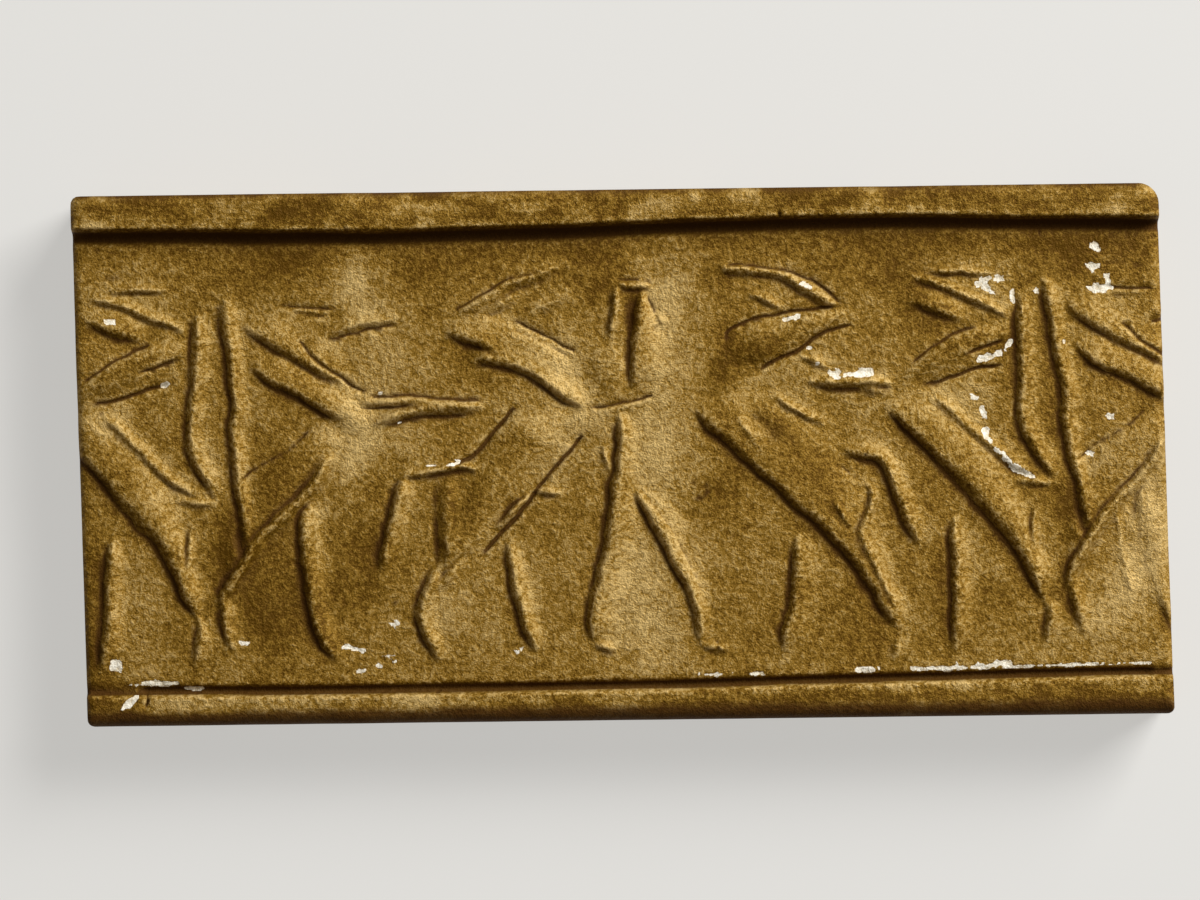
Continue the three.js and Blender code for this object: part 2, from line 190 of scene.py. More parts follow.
def line(path, half_width, depth, run_out=0.6):
    """A thin sunk line, drawn in the field or in a raised mass"""
    return ridge(path, half_width, half_width, -depth, run_out=run_out)


# The figures of one turn of the seal, from left to right, in millimetres of the seal's own
# drawing. Cuts run rightwards or down, so that the right side of each is the steep one
def staffs():
    return [
        ridge([(-21.2, 7.9), (-21.35, 6.5), (-21.5, 5), (-21.6, 3.8), (-21.85, 2.2), (-21.8, 1),
               (-21.45, -0.1), (-20.95, -1.0), (-20.55, -1.8)], 0.45, 0.42, 0.26),
        ridge([(-19.95, 8.7), (-19.85, 7), (-19.75, 5.5), (-19.6, 4), (-19.45, 2.8), (-19.65, 1.6),
               (-19.6, 0.4), (-19.5, -1.0), (-19.25, -2.4), (-18.95, -4.3)], 0.4, 0.42, 0.27),
        line([(-19.6, -3.0), (-19.35, -4.9)], 0.4, 0.12),
    ]


def outer_left_beast():
    neck = [
        ridge([(-19.1, 7.15), (-17.5, 6.1), (-16.2, 5.3), (-15.0, 4.6), (-13.9, 3.9)],
              0.9, 0.4, 0.25),
        ridge([(-18.85, 5.1), (-17.4, 4.15), (-16.2, 3.5), (-15, 2.75), (-13.95, 2.1)],
              1.0, 0.42, 0.3),
        line([(-16.5, 6.4), (-15.3, 5.1), (-13.9, 4.0), (-12.7, 3.4)], 0.13, 0.13),
    ]
    body = [
        ridge([(-15.4, 3.7), (-14.2, 2.7), (-13.0, 1.7)], 0.8, 0.9, 0.2, 1.6),
        ridge([(-14.0, 1.6), (-16.2, -0.6), (-17.6, -2.2), (-19.2, -4.4), (-20.3, -6.3)],
              0.5, (0.9, 1.9, 2.0, 1.4, 0.6), 0.22, 1.6, 2.0),
        ridge([(-14.6, 0.6), (-15.6, -0.8), (-16.5, -1.9), (-18, -3.3), (-19.2, -4.8), (-20.2, -6.2),
               (-20.6, -7.3)], 0.3, 0.35, 0.36),
        line([(-15.2, 2.0), (-16.9, 0.72), (-18.5, -0.13), (-19.6, -1.0)], 0.1, 0.08),
    ]
    forelegs = [
        ridge([(-13.2, 3.1), (-10, 2.95), (-6.7, 2.65)], 0.2, 0.3, 0.20),
        line([(-12.9, 3.4), (-11, 3.25), (-6.8, 2.9)], 0.11, 0.13),
        line([(-13.4, 2.75), (-12.0, 2.8), (-10.5, 2.78)], 0.1, 0.1),
        ridge([(-12.7, 2.0), (-11.8, 2.3), (-10.3, 2.55), (-8.5, 2.6), (-7, 2.6)], 0.3, 0.42, 0.30),
    ]
    hind_legs = [
        ridge([(-20.3, -6.5), (-20.3, -7.6), (-20.2, -8.6), (-20.05, -9.7)], 0.4, 0.35, 0.24),
        ridge([(-15.9, -2.0), (-16.25, -3.0), (-16.15, -4.5), (-16.0, -6.5), (-15.75, -8), (-15.2, -9.2),
               (-14.6, -10.1)], 0.6, 0.42, 0.30),
    ]
    ears = [
        ridge([(-15.2, 6.5), (-13.5, 6.85), (-12, 7.15), (-11, 7.1)], 0.3, 0.2, 0.14),
        line([(-15.3, 6.15), (-13.5, 6.5), (-12, 6.85), (-11, 6.85)], 0.13, 0.11),
        line([(-17.5, 7.95), (-14.1, 7.8)], 0.12, 0.1),
        line([(-17.0, 7.6), (-14.6, 7.45)], 0.12, 0.07),
        line([(-16.9, 9.2), (-14.6, 9.0)], 0.14, 0.05),
    ]
    return [*neck, *body, *forelegs, *hind_legs, *ears]


def inner_left_beast():
    body = [
        ridge([(-2.9, 2.2), (-5.0, 0.2), (-6.6, -1.8), (-8.3, -4.4), (-9.3, -6.0)],
              (0.9, 1.0, 1.0, 0.7, 0.3), (1.3, 1.9, 1.9, 1.2, 0.4), 0.26, 1.6, 2.0),
        line([(-5.1, 2.75), (-5.7, 2.1), (-6.3, 1.5), (-7.1, 0.65), (-7.8, 0.05), (-8.8, -0.35)],
             0.2, 0.14),
        line([(-1.85, 1.2), (-3.0, 0.0), (-4.3, -1.45), (-5.5, -3.0), (-6.3, -3.9), (-7.3, -5.0)],
             0.16, 0.2),
        ridge([(-4.75, -1.75), (-5.7, -2.75), (-6.5, -3.7)], 0.2, 0.2, 0.34),
        ridge([(-8.1, -4.95), (-9, -5.95), (-9.9, -6.85)], 0.3, 0.3, 0.25),
    ]
    forelegs = [
        ridge([(-4.7, -1.65), (-3.9, -1.75), (-3.0, -1.95)], 0.25, 0.25, 0.22),
        ridge([(-11.3, -0.85), (-9.6, -0.6), (-7.9, -0.35), (-7.0, -0.7)], 0.22, 0.26, 0.24),
        ridge([(-11.0, -0.8), (-11.45, -2.2), (-11.85, -3.6), (-12.4, -5.6)], 0.45, 0.42, 0.32,
              run_out=0.8),
        ridge([(-8.95, -0.9), (-8.9, -3), (-9.0, -4.5), (-9.2, -5.9)], 0.6, 0.6, 0.26),
    ]
    hind_legs = [
        ridge([(-9.4, -5.2), (-10.0, -6.6), (-10.35, -7.5), (-10.25, -8.4), (-9.85, -9.4),
               (-9.35, -10.3)], 0.5, 0.42, 0.30),
        ridge([(-5.85, -4.1), (-5.6, -5.6), (-5.4, -7), (-5.05, -8.3), (-4.4, -9.9)],
              0.4, 0.45, 0.30),
    ]
    return [*body, *forelegs, *hind_legs]


def winged_figure():
    head = [
        ridge([(0.05, 8.6), (-0.15, 7.6), (-0.5, 6.0)], 0.22, 0.3, 0.22, run_out=0.5),
        ridge([(-0.1, 8.6), (1.75, 8.58)], 0.2, 0.25, 0.22, run_out=0.4),
        line([(-0.3, 8.87), (0.8, 8.92), (1.95, 8.82)], 0.09, 0.09),
        line([(0.72, 8.2), (0.5, 7.2), (0.35, 6.3)], 0.42, 0.08),
        line([(1.55, 8.3), (1.6, 7.7), (1.8, 7.1), (2.15, 6.65)], 0.1, 0.12),
        line([(2.1, 6.6), (1.6, 6.35)], 0.09, 0.08),
    ]
    trunk = [
        ridge([(1.25, 8.4), (1.15, 7.4), (1.0, 6.3), (0.8, 5), (0.75, 4.0), (0.6, 3.3)],
              (0.25, 0.4, 0.9, 1.3, 1.2, 0.8), 0.45, 0.32),
        ridge([(-0.9, 5.9), (-0.5, 4.4), (-0.1, 2.8)], 1.0, 1.1, 0.14, 2.0),
        ridge([(-1.7, 2.25), (0, 2.42), (1.9, 2.8)], 0.2, 0.35, 0.08),
        line([(-1.85, 2.46), (-0.7, 2.56), (0.5, 2.74), (2.0, 2.99)], 0.11, 0.16),
    ]
    legs = [
        ridge([(-0.05, 2.1), (0, 1), (-0.1, 0), (-0.3, -1.3), (-0.5, -3), (-0.9, -5), (-1.3, -6.8),
               (-1.65, -8.2), (-1.75, -9.4)],
              (0.4, 0.5, 0.6, 0.9, 0.9, 0.8, 0.8), (0.4, 0.4, 0.45, 0.5, 0.45), 0.34, run_out=0.9),
        ridge([(-1.05, 1.0), (-0.9, 0), (-0.65, -1.1)], 0.2, 0.2, 0.16),
        ridge([(-1.75, -9.55), (-0.4, -9.82)], 0.25, 0.25, 0.2, run_out=0.5),
        ridge([(0.65, -1.55), (1.3, -2.8), (1.95, -4), (2.7, -5.5), (3.5, -7.4), (3.8, -8.6),
               (3.8, -9.8)], (0.5, 0.75, 0.75, 0.6, 0.4, 0.35, 0.3), 0.42, 0.31),
        line([(0.75, -1.5), (1.8, -2.9), (2.75, -4.3), (3.4, -5.9), (3.85, -7.3)], 0.1, 0.08),
        ridge([(3.7, -9.7), (4.4, -9.9), (5.3, -10.1)], 0.2, 0.2, 0.18, run_out=0.5),
    ]
    return [*head, *trunk, *legs, *left_wing(), *right_wing()]


def left_wing():
    return [
        ridge([(-8.8, 6.9), (-6.8, 6.6), (-4.8, 5.6), (-2.5, 4.2)], 0.9, 0.9, 0.17, 1.8, 1.8),
        ridge([(-8.5, 7.15), (-7.4, 7.9), (-5.7, 8.85), (-4.2, 9.35), (-2.8, 9.7)], 0.25, 0.5, 0.22),
        line([(-8.6, 7.3), (-6.9, 8.4), (-5.6, 9.05), (-3.9, 9.5)], 0.12, 0.12),
        ridge([(-8.1, 7.2), (-6.3, 7.9), (-4.9, 8.3)], 0.6, 0.5, 0.16),
        ridge([(-4.8, 7.25), (-3.7, 7.7), (-2.3, 8.45)], 0.2, 0.4, 0.15),
        line([(-5.4, 7.0), (-3.9, 6.25), (-1.9, 5.1)], 0.11, 0.13),
        line([(-6.2, 6.9), (-4.0, 5.85), (-2.3, 4.95)], 0.1, 0.07),
        ridge([(-8.9, 6.5), (-7.6, 6.15), (-6.5, 5.75), (-5.7, 5.3)], 0.6, 0.4, 0.30),
        ridge([(-7.5, 5.0), (-6.2, 5.08), (-5.3, 4.75), (-4.2, 4.15), (-3, 3.3), (-1.85, 2.45)],
              0.6, 0.42, 0.3, run_out=0.8),
    ]


def right_wing():
    return [
        ridge([(5.15, 9.42), (6.6, 9.32), (8, 9.12), (9.2, 8.5), (10.1, 7.9), (11.1, 7.35)],
              0.25, 0.38, 0.24, run_out=0.5),
        line([(5.2, 9.6), (6.7, 9.54), (8.2, 9.3), (9.8, 8.62), (11.4, 7.4)], 0.11, 0.14),
        ridge([(6.3, 8.15), (7.3, 7.75), (8.5, 7.2)], 0.25, 0.3, 0.22),
        ridge([(5.4, 5.1), (7, 5.4), (9, 6.05), (10.6, 6.75), (11.6, 7.1)],
              (0.9, 1.15, 0.95, 0.6, 0.3), (0.8, 1.1, 0.8, 0.5, 0.3), 0.26, 2.0, 1.8),
        line([(5.3, 5.5), (5.5, 6.2), (6.4, 6.6), (8, 7.0), (10.2, 7.3), (11.3, 7.42)], 0.13, 0.17),
        line([(6.8, 4.05), (7.8, 4.65), (9.2, 5.2), (10.5, 6.05), (12, 6.5)], 0.14, 0.18),
        ridge([(9.1, 5.0), (9.9, 4.6), (10.6, 4.1)], 0.2, 0.25, 0.2),
        ridge([(3.8, 9.63), (4.2, 9.4)], 0.1, 0.1, 0.08),
    ]


def inner_right_beast():
    body = [
        ridge([(3.7, 2.35), (5.1, 1.2), (6.1, 0.3), (7.1, -0.75), (8.5, -2.1), (10, -3.45),
               (11.2, -4.7), (12.1, -5.8), (12.8, -7.1), (13.5, -8.3), (13.9, -9.1)],
              (0.8, 2.0, 2.6, 2.6, 2.2, 1.4, 0.7, 0.5, 0.4), 0.55, 0.35, 1.2),
        ridge([(5.3, 2.6), (6.3, 1.2), (7.4, -0.4)], 0.22, 0.3, 0.16),
        line([(6.3, 2.2), (7.2, 1.3), (8.2, 0.3)], 0.5, 0.08),
        line([(10.66, -0.5), (11.3, -1.0), (12, -1.57)], 0.1, 0.08),
        ridge([(12.1, -1.5), (12.55, -2.3), (12.25, -3.6), (12.1, -4.4), (12.45, -5.4), (13.1, -6.8),
               (13.8, -8.3)], 0.25, 0.25, 0.25),
        ridge([(10.4, -2.3), (11, -3.1), (11.7, -4.2)], 0.2, 0.2, 0.3),
    ]
    forelegs = [
        ridge([(7.4, 3.05), (8.9, 2.1), (10.5, 1.15)], 0.25, 0.25, 0.2),
        ridge([(11, 0.1), (12.3, -0.15), (13.1, -0.5), (13.7, -1.6), (14.3, -3.2), (14.95, -5.1)],
              0.45, 0.42, 0.30),
    ]
    hind_legs = [
        ridge([(8.75, -4.1), (8.85, -5.6), (8.65, -7.4), (8.3, -9), (7.9, -10.3)], 0.7, 0.45, 0.28),
        ridge([(13.85, -9.3), (13.6, -11)], 0.3, 0.35, 0.15),
    ]
    return [*body, *forelegs, *hind_legs]


def outer_right_beast():
    body = [
        ridge([(13.5, 2.15), (14.6, 1.15), (16, -0.1), (17.2, -1.25), (18.3, -2.4), (19.3, -3.7),
               (20.1, -5.0), (20.9, -6.7), (21.3, -7.8)],
              (0.9, 1.5, 1.6, 1.4, 1.1, 0.8, 0.6, 0.5, 0.3),
              (0.4, 0.45, 0.6, 0.75, 0.8, 0.7, 0.6, 0.5, 0.35), 0.38, 1.2),
        ridge([(15.6, 2.9), (17.0, 1.55), (18.4, 0.25), (19.5, -0.75), (20.9, -1.6)], 0.3, 0.3, 0.2),
        ridge([(19.6, -1.75), (21, -1.95), (22.2, -2.0)], 0.2, 0.25, 0.18),
        ridge([(20.75, -2.9), (20.75, -4.5), (20.9, -6)], 0.22, 0.2, 0.2),
        ridge([(20.2, -3.1), (20.25, -4.4), (20.35, -5.4)], 0.2, 0.16, 0.12),
    ]
    legs = [
        ridge([(21.2, -7.6), (21.6, -8.4), (21.5, -9.2), (21.3, -10.3)], 0.3, 0.42, 0.25),
        ridge([(16.75, -3.4), (16.8, -5.5), (16.9, -7.8), (16.75, -9.4), (16.6, -10.4)],
              0.45, 0.45, 0.3),
        ridge([(9.3, 3.65), (10.8, 3.45), (12.3, 3.4), (13.9, 3.25)], 0.3, 0.42, 0.32),
        ridge([(11.8, 3.1), (13.7, 2.75)], 0.2, 0.25, 0.2),
    ]
    neck = [
        ridge([(14.2, 3.5), (16.4, 4.8), (19.9, 5.9)], (0.5, 1.0, 0.6), (0.5, 1.0, 0.6),
              0.22, 2.0, 1.8),
        ridge([(14.4, 7.6), (16, 7.05), (17.7, 6.4)], 0.7, 0.4, 0.26),
        line([(18.1, 6.15), (16.8, 5.65), (15.6, 4.95), (14.6, 4.2)], 0.14, 0.16),
        line([(17.3, 4.65), (18.4, 4.95), (19.6, 5.4)], 0.13, 0.18),
        line([(15.2, 3.2), (16.7, 3.45), (17.9, 3.85), (19.4, 4.2)], 0.15, 0.2),
    ]
    horns = [
        ridge([(15.4, 8.95), (17, 8.93), (19.1, 8.8)], 0.2, 0.22, 0.2),
        ridge([(14.4, 8.75), (15.8, 8.4), (17.2, 7.85), (18.6, 7.25), (19.9, 6.65)], 0.25, 0.3, 0.2),
        ridge([(14.1, 8.95), (15.4, 9.5)], 0.15, 0.15, 0.08),
    ]
    return [*body, *legs, *neck, *horns]


# Damage, in the drawing's millimetres. A chip is (u, v, length, width, direction in degrees)
CHIPS = [
    (-25.85, 7.35, 0.6, 0.2, 0), (-23.15, 4.1, 0.7, 0.25, 10), (9.6, 8.38, 0.65, 0.25, -30),
    (8.8, 6.77, 0.95, 0.25, 8), (9.6, 5.2, 0.25, 0.18, 0), (10.0, 4.4, 0.25, 0.18, 0),
    (10.9, 3.92, 0.7, 0.4, 0), (11.9, 3.84, 1.9, 0.3, 5), (18.45, 8.35, 0.7, 0.36, 30),
    (18.75, 7.95, 1.0, 0.36, -38), (19.3, 8.45, 0.4, 0.28, 0), (20.0, 7.5, 0.5, 0.24, 90),
    (18.9, 4.6, 1.6, 0.34, 18), (19.75, 5.25, 0.7, 0.36, 60), (17.9, 2.6, 0.5, 0.3, -30),
    (18.3, 1.85, 0.5, 0.28, -60), (18.4, 0.8, 0.45, 0.35, 0), (24.2, 10.0, 1.0, 0.42, -50),
    (24.0, 9.0, 0.4, 0.3, 0), (24.35, 7.85, 1.2, 0.45, 0), (24.8, 8.3, 0.9, 0.22, -78),
    (16.7, -11.14, 1.4, 0.24, 5), (18.7, -11.08, 1.6, 0.34, 8), (24.8, 1.35, 0.4, 0.3, 0),
    (23.7, -0.45, 0.4, 0.15, 0), (21.15, 7.85, 0.3, 0.22, 0), (22.5, 5.25, 0.2, 0.2, 0),
    (18.75, 0.15, 1.3, 0.36, -55), (19.5, -0.7, 1.4, 0.34, -44), (20.4, -1.4, 1.2, 0.24, -22),
    (-25.2, -11.9, 1.2, 0.32, 38), (-23.9, -11.02, 1.9, 0.22, 0), (-22.2, -11.3, 1.4, 0.18, -2),
    (-25.9, -10.1, 0.65, 0.45, 0), (-19.3, -9.05, 0.7, 0.35, 0), (-11.6, -8.2, 0.7, 0.42, 30),
    (-13.8, -9.5, 1.4, 0.15, -16), (-12.15, -9.85, 0.7, 0.1, 0), (-11.95, -10.2, 0.5, 0.18, 0),
    (-12.6, -10.4, 0.3, 0.2, 0), (-13.6, -10.6, 0.6, 0.08, 0), (-7.2, -9.95, 0.25, 0.2, 0),
    (-5.65, -9.85, 0.35, 0.25, 0), (-9.6, -0.3, 0.5, 0.12, 0), (-8.6, -0.25, 0.6, 0.15, 10),
    (-12.2, 3.45, 0.2, 0.15, 0), (-11.3, 1.9, 0.3, 0.15, 20),
]

# Fine damage, cut once in the slab: a crack and a notch in the rims, and scratches
def scratches():
    turns = np.linspace(0, 2 * math.pi, 13)
    bubble = [(3.85 + 0.45 * math.cos(turn), -1.8 + 0.45 * math.sin(turn)) for turn in turns]
    return [
        line(bubble, 0.1, 0.08, 0.02),
        line([(-24.45, -11.4), (-24.35, -11.85), (-24.5, -12.3)], 0.11, 0.28, 0.3),
        ridge([(1.75, 7.2), (2.3, 6.5)], 0.16, 0.14, 0.14, run_out=0.3),
        line([(2.3, 6.4), (1.4, 6.3)], 0.09, 0.06, 0.3),
        line([(8.15, 12.2), (8.3, 11.8)], 0.12, 0.3, 0.2),
        line([(-13.9, 11.9), (-13.6, 11.6)], 0.12, 0.2, 0.2),
        line([(-14.4, -9.3), (-13.6, -9.5), (-12.8, -9.75)], 0.07, 0.06),
        line([(5.2, -3.4), (5.6, -4.6), (5.7, -5.9)], 0.07, 0.05),
        line([(6.6, -4.1), (6.5, -6.2)], 0.07, 0.05),
        ridge([(4.6, -7.2), (6.4, -7.3)], 0.11, 0.11, 0.08, run_out=0.4),
        line([(4.4, -7.9), (5.9, -8.1)], 0.07, 0.05),
        line([(-26.6, 9.5), (-23.9, 9.75)], 0.08, 0.07),
        line([(-26.0, 9.0), (-24.2, 9.1)], 0.09, 0.08),
        line([(-9.8, -12.0), (-9.5, -11.6)], 0.12, 0.15, 0.2),
        line([(-17.0, 7.3), (-14.0, 7.45)], 0.08, 0.07),
        line([(-24.1, -8.1), (-22.3, -8.15)], 0.07, 0.05),
        ridge([(21.3, -9.3), (25.2, -9.6)], 0.12, 0.12, 0.05),
        ridge([(24.9, -2.6), (25.2, -5.6), (25.9, -8.6)], 0.16, 0.13, 0.09),
        ridge([(25.6, -3.2), (25.8, -6.0)], 0.12, 0.1, 0.06),
    ]


# Stretches of the field's foot arris that are chipped: (from, to, half the width)
CHIPPED_ARRIS = [(3.5, 5.2, 0.14), (5.9, 7.1, 0.1), (11.4, 12.8, 0.14), (14.0, 19.6, 0.13),
                 (19.0, 26.6, 0.08)]

# The rims' inner edges, as a few points along the seal's band
TOP_EDGE = [(-27, 12.1), (-12, 11.68), (0, 11.8), (12, 12.0), (20, 11.68), (27, 11.5)]
FOOT_EDGE = [(-27, -11.1), (-12, -11.35), (0, -11.42), (27, -11.3)]

# Places where the relief is worn down: (u, v, length, width, direction, how much)
WORN_DOWN = [(26.6, -6.0, 9, 2.8, 90, 0.8), (-28.2, 0.8, 4, 2, 90, 0.8)]

# Places where the paint is browner, or paler below 0, partly stains and partly painted shade, such as
# inside the head's frame and at the wing's end, and painted highlight on planes facing the light: (u, v,
# length, width, direction, how much)
STAIN_SHADE_AND_HIGHLIGHT_SPOTS = [
    (0.78, 7.6, 1.8, 1.0, 88, 2.0), (7.4, 5.2, 4, 1.6, 30, 0.6), (8.0, 0.9, 3, 2, -30, 0.7),
    (3.85, -1.8, 0.9, 0.9, 0, 0.6), (27.0, -12.6, 1.2, 0.8, 90, -0.8), (22.6, -8.0, 2.6, 2.0, 0, 0.7),
    (18.6, -7.4, 2.4, 1.6, 90, 0.6), (2.2, 7.5, 8, 2.8, 90, -1), (1.8, 1.0, 6, 3.6, 90, -1),
    (0.8, -7.0, 8, 4.8, 90, -1), (-3.0, 4.0, 5, 4, -50, -0.9), (-3.2, 1.5, 4, 3.5, -50, -0.9),
    (-13.3, 9.3, 4, 2.4, 90, -1), (-13.3, 1.5, 5, 3.5, 60, -0.9), (-12.5, 6.0, 6, 4, 90, -0.4),
    (-9.0, -7.5, 5, 3.5, 90, -0.5), (-25.5, 2.2, 4, 3, -30, -0.5), (26.5, -4.5, 7, 2.6, 90, -1),
    (24.8, -7.8, 4, 3, 45, -0.9), (17.0, 2.8, 3, 2.2, 0, -0.6), (18.8, 8.0, 3, 2, 45, -0.5),
    (8.3, 3.8, 5, 2, 10, -0.6), (6.4, 0.9, 3.4, 0.6, -60, -0.8), (24.5, 6.5, 5, 1.5, 90, -0.35),
    (-6.5, 8.0, 4, 2, 30, -0.25), (-19.9, -4.3, 4.5, 1.6, 90, 0.9), (-18.2, -6.5, 8, 4.5, 90, 0.8),
    (-15.0, -7.5, 7, 3, 90, 0.5), (-17.6, 0.2, 4, 2.5, 45, 0.5), (-13.0, -4.0, 6, 3, 90, 0.4),
    (-8.4, -1.8, 4, 2.8, 90, 0.8), (-21.0, 9.0, 3, 3, 0, 0.3), (-1.4, 8.3, 5, 3, 90, 0.7),
    (-8.5, 9.5, 6, 2.5, 0, 0.4), (13.8, 9.3, 5, 3, 0, 0.9), (15.5, 6.8, 4, 2.5, -40, 0.6),
    (5.5, 5.2, 3, 1.2, 75, 1), (5.5, -2.6, 4, 3, -45, 0.5), (20.5, 3.5, 7, 3, 90, 0.5),
    (23.0, 9.6, 5, 2.5, -30, 0.6), (25.8, 9.8, 2.5, 2, -60, 0.8), (-27.0, -6.5, 9, 1.8, 90, 0.7),
    (16.2, -7.0, 6, 2.5, 90, 0.5), (12.0, -8.5, 4, 3, 0, 0.4), (22.8, -3.5, 4, 2, 90, 0.7),
    (6.0, -8.3, 4, 3, 90, 0.3), (-25.5, 6.8, 3, 1.2, -10, 0.6), (7.4, 1.6, 2.4, 1.4, -40, 0.5),
    (-6.5, 3.9, 3, 1.6, -30, 0.5), (-16.5, 10.0, 2.5, 2, 0, 0.5), (10.0, -0.8, 3, 2, -40, 0.3),
    (-15.5, -2.7, 2.5, 1.2, 45, -0.8), (-13.4, 0.0, 3, 1.2, 60, -0.6), (0.6, 7.3, 2.4, 0.9, 100, 0.7),
    (10.0, -7.0, 5, 3, 90, 0.3), (-18.5, -12.15, 12, 0.9, 0, -1.2), (-10.0, -12.2, 8, 0.7, 0, -0.8),
    (2.0, -12.0, 10, 0.5, 0, -0.5), (-26.2, -12.0, 3, 1.5, 0, 0.5), (14.0, -12.0, 12, 0.5, 0, -0.4),
    (24.0, -12.0, 5, 1, 0, -0.5), (-25.5, 12.5, 4, 1.2, 0, -0.6), (-9.0, 12.8, 9, 0.5, 0, -0.6),
    (-15.0, 12.9, 7, 0.6, 0, 0.5), (3.0, 12.9, 6, 0.6, 0, -0.6), (13.0, 12.9, 8, 0.8, 0, 0.4),
    (23.0, 12.7, 8, 1, 0, -0.4),
]

# Pinholes, as (u, v), and their size
PITS = [
    (-12.3, 9.3), (-12.8, 4.4), (-11.8, 4.4), (-10.9, -5), (-11.7, -7.2), (3.27, -3.3), (4.7, -6.2),
    (4.6, -9.6), (4.6, -9.9), (3.8, -10.35), (0, -10.4), (11.7, -9.2), (15.4, -8.5), (21.4, 10.8),
    (12.3, -0.25), (9.7, -0.2), (-26.3, 2.75), (-26.4, 11),
]
PIT_RADIUS = 0.07
PIT_DEPTH = 0.1


class FaceRaster:
    """A fine grid over the slab's face, in millimetres, on which the relief is worked out"""

    def __init__(self, length, width, step, tilt):
        self.step = step
        self.low = np.array([-length / 2 - 2 * step, -width / 2 - 2 * step])
        self.x_values = np.arange(self.low[0], length / 2 + 3 * step, step)
        self.y_values = np.arange(self.low[1], width / 2 + 3 * step, step)
        self.x, self.y = np.meshgrid(self.x_values, self.y_values)
        self.tilt = tilt

    def blurred(self, field, radius):
        """The field with a Gaussian blur of that radius"""
        pad = int(3 * radius / self.step) + 1
        padded = np.pad(field, pad, mode="edge")
        rows = np.fft.fftfreq(padded.shape[0], self.step)[:, None]
        columns = np.fft.rfftfreq(padded.shape[1], self.step)[None, :]
        keep = np.exp(-2 * (math.pi * radius) ** 2 * (rows ** 2 + columns ** 2))
        soft = np.fft.irfft2(np.fft.rfft2(padded) * keep, padded.shape)
        return soft[pad:-pad, pad:-pad]

    def sampled(self, field, x, y):
        """The field at any points, straight between grid points"""
        column = np.clip((x - self.low[0]) / self.step, 0, field.shape[1] - 1.001)
        row = np.clip((y - self.low[1]) / self.step, 0, field.shape[0] - 1.001)
        i, j = column.astype(int), row.astype(int)
        a, b = column - i, row - j
        lower = field[j, i] * (1 - a) + field[j, i + 1] * a
        upper = field[j + 1, i] * (1 - a) + field[j + 1, i + 1] * a
        return lower * (1 - b) + upper * b

    def cloud(self, size, random):
        """Smooth random unevenness of about that size, roughly between -1 and 1"""
        soft = self.blurred(random.standard_normal(self.x.shape), size / 2)
        return soft / (2 * soft.std())

    def clouds(self, layers, random):
        """Several clouds added up, from how much and which size of each"""
        return sum(amount * self.cloud(size, random) for amount, size in layers)

    def along_seal(self):
        """Each point's place along the seal's band"""
        return self.x * math.cos(self.tilt) + self.y * math.sin(self.tilt)

    def across_seal(self):
        """Each point's place across the seal's band"""
        return self.y * math.cos(self.tilt) - self.x * math.sin(self.tilt)

    def place(self, points, turn=0, lap=0.0):
        """Points of the seal's drawing, some whole turns on, as points on the slab"""
        u, v = np.asarray(points, float).T
        u = u + turn * (lap - SEAL_TAPER * v)
        c, s = math.cos(self.tilt), math.sin(self.tilt)
        return np.stack([u * c - v * s, u * s + v * c], -1)

    def window(self, low, high):
        """The rows and columns of the grid inside that box, none if it lies beside the grid"""
        i0, i1 = np.searchsorted(self.x_values, (low[0], high[0]))
        j0, j1 = np.searchsorted(self.y_values, (low[1], high[1]))
        return slice(j0, j1), slice(i0, i1)

    def around(self, u, v, length, width, direction, reach):
        """The rows and columns near a spot of the drawing, and how many of its half lengths and
        half widths each point there lies from its middle"""
        (x, y), = self.place([(u, v)])
        window = self.window((x - reach, y - reach), (x + reach, y + reach))
        turn = math.radians(direction) + self.tilt
        dx, dy = self.x[window] - x, self.y[window] - y
        along = (dx * math.cos(turn) + dy * math.sin(turn)) / (length / 2)
        across = (dy * math.cos(turn) - dx * math.sin(turn)) / (width / 2)
        return window, along, across


def smooth_run(points, values, steps=6):
    """A smooth curve through a few points, carrying the values given at them"""
    if len(points) == 2:
        t = np.linspace(0, 1, 2 * steps + 1)[:, None]
        return points[0] + t * (points[1] - points[0]), values[0] + t * (values[1] - values[0])
    guides = np.vstack([2 * points[0] - points[1], points, 2 * points[-1] - points[-2]])
    run, carried = [], []
    for i in range(len(points) - 1):
        a, b, c, d = guides[i:i + 4]
        last = i == len(points) - 2
        for t in np.linspace(0, 1, steps + 1)[:None if last else -1]:
            bend = (2 * b + (c - a) * t + (2 * a - 5 * b + 4 * c - d) * t ** 2
                    + (3 * b - a - 3 * c + d) * t ** 3)
            run.append(bend / 2)
            carried.append(values[i] + t * (values[i + 1] - values[i]))
    return np.array(run), np.array(carried)


def spread(value, count):
    """One half width for all points, or a few spread evenly over them"""
    given = np.atleast_1d(value).astype(float)
    return np.interp(np.linspace(0, 1, count), np.linspace(0, 1, len(given)), given)


def climb(values, start, span):
    """0 up to the start, then straight up to 1 over the span"""
    return np.clip((values - start) / span, 0, 1)


def bank(distance, reach):
    """1 on a line, running out straight to 0 that far away on both sides of it"""
    return np.clip(1 - np.abs(distance) / reach, 0, 1)


def eased(values):
    """Values from 0 to 1 with a soft start and end"""
    return values ** 2 * (3 - 2 * values)


# The ends of a cut are shallower by this power, and narrowed to this share of its width
RUN_OUT_POWER = 0.7
NARROWEST = 0.3

# A ridge less round than this has a steep right side, and a gentle left side that runs out to this
# many half widths and is hollowed by this power
SHARP_BELOW = 1.5
TAIL = 1.8
TAIL_HOLLOW = 1.3

# Where two cuts lie over each other, the lower one still adds this share of its height
OVERLAP_SHARE = 0.45

# The crease at the foot of a ridge's steep side, which faces away from the light, where painted shade
# sits, with dirt in the sunk lines; and the rise or depth of a cut from which it is full
CREASE_WIDTH = 0.13
CREASE_DEPTH = 0.05
FULL_CREASE_RISE = 0.3
FULL_CREASE_DEPTH = 0.13


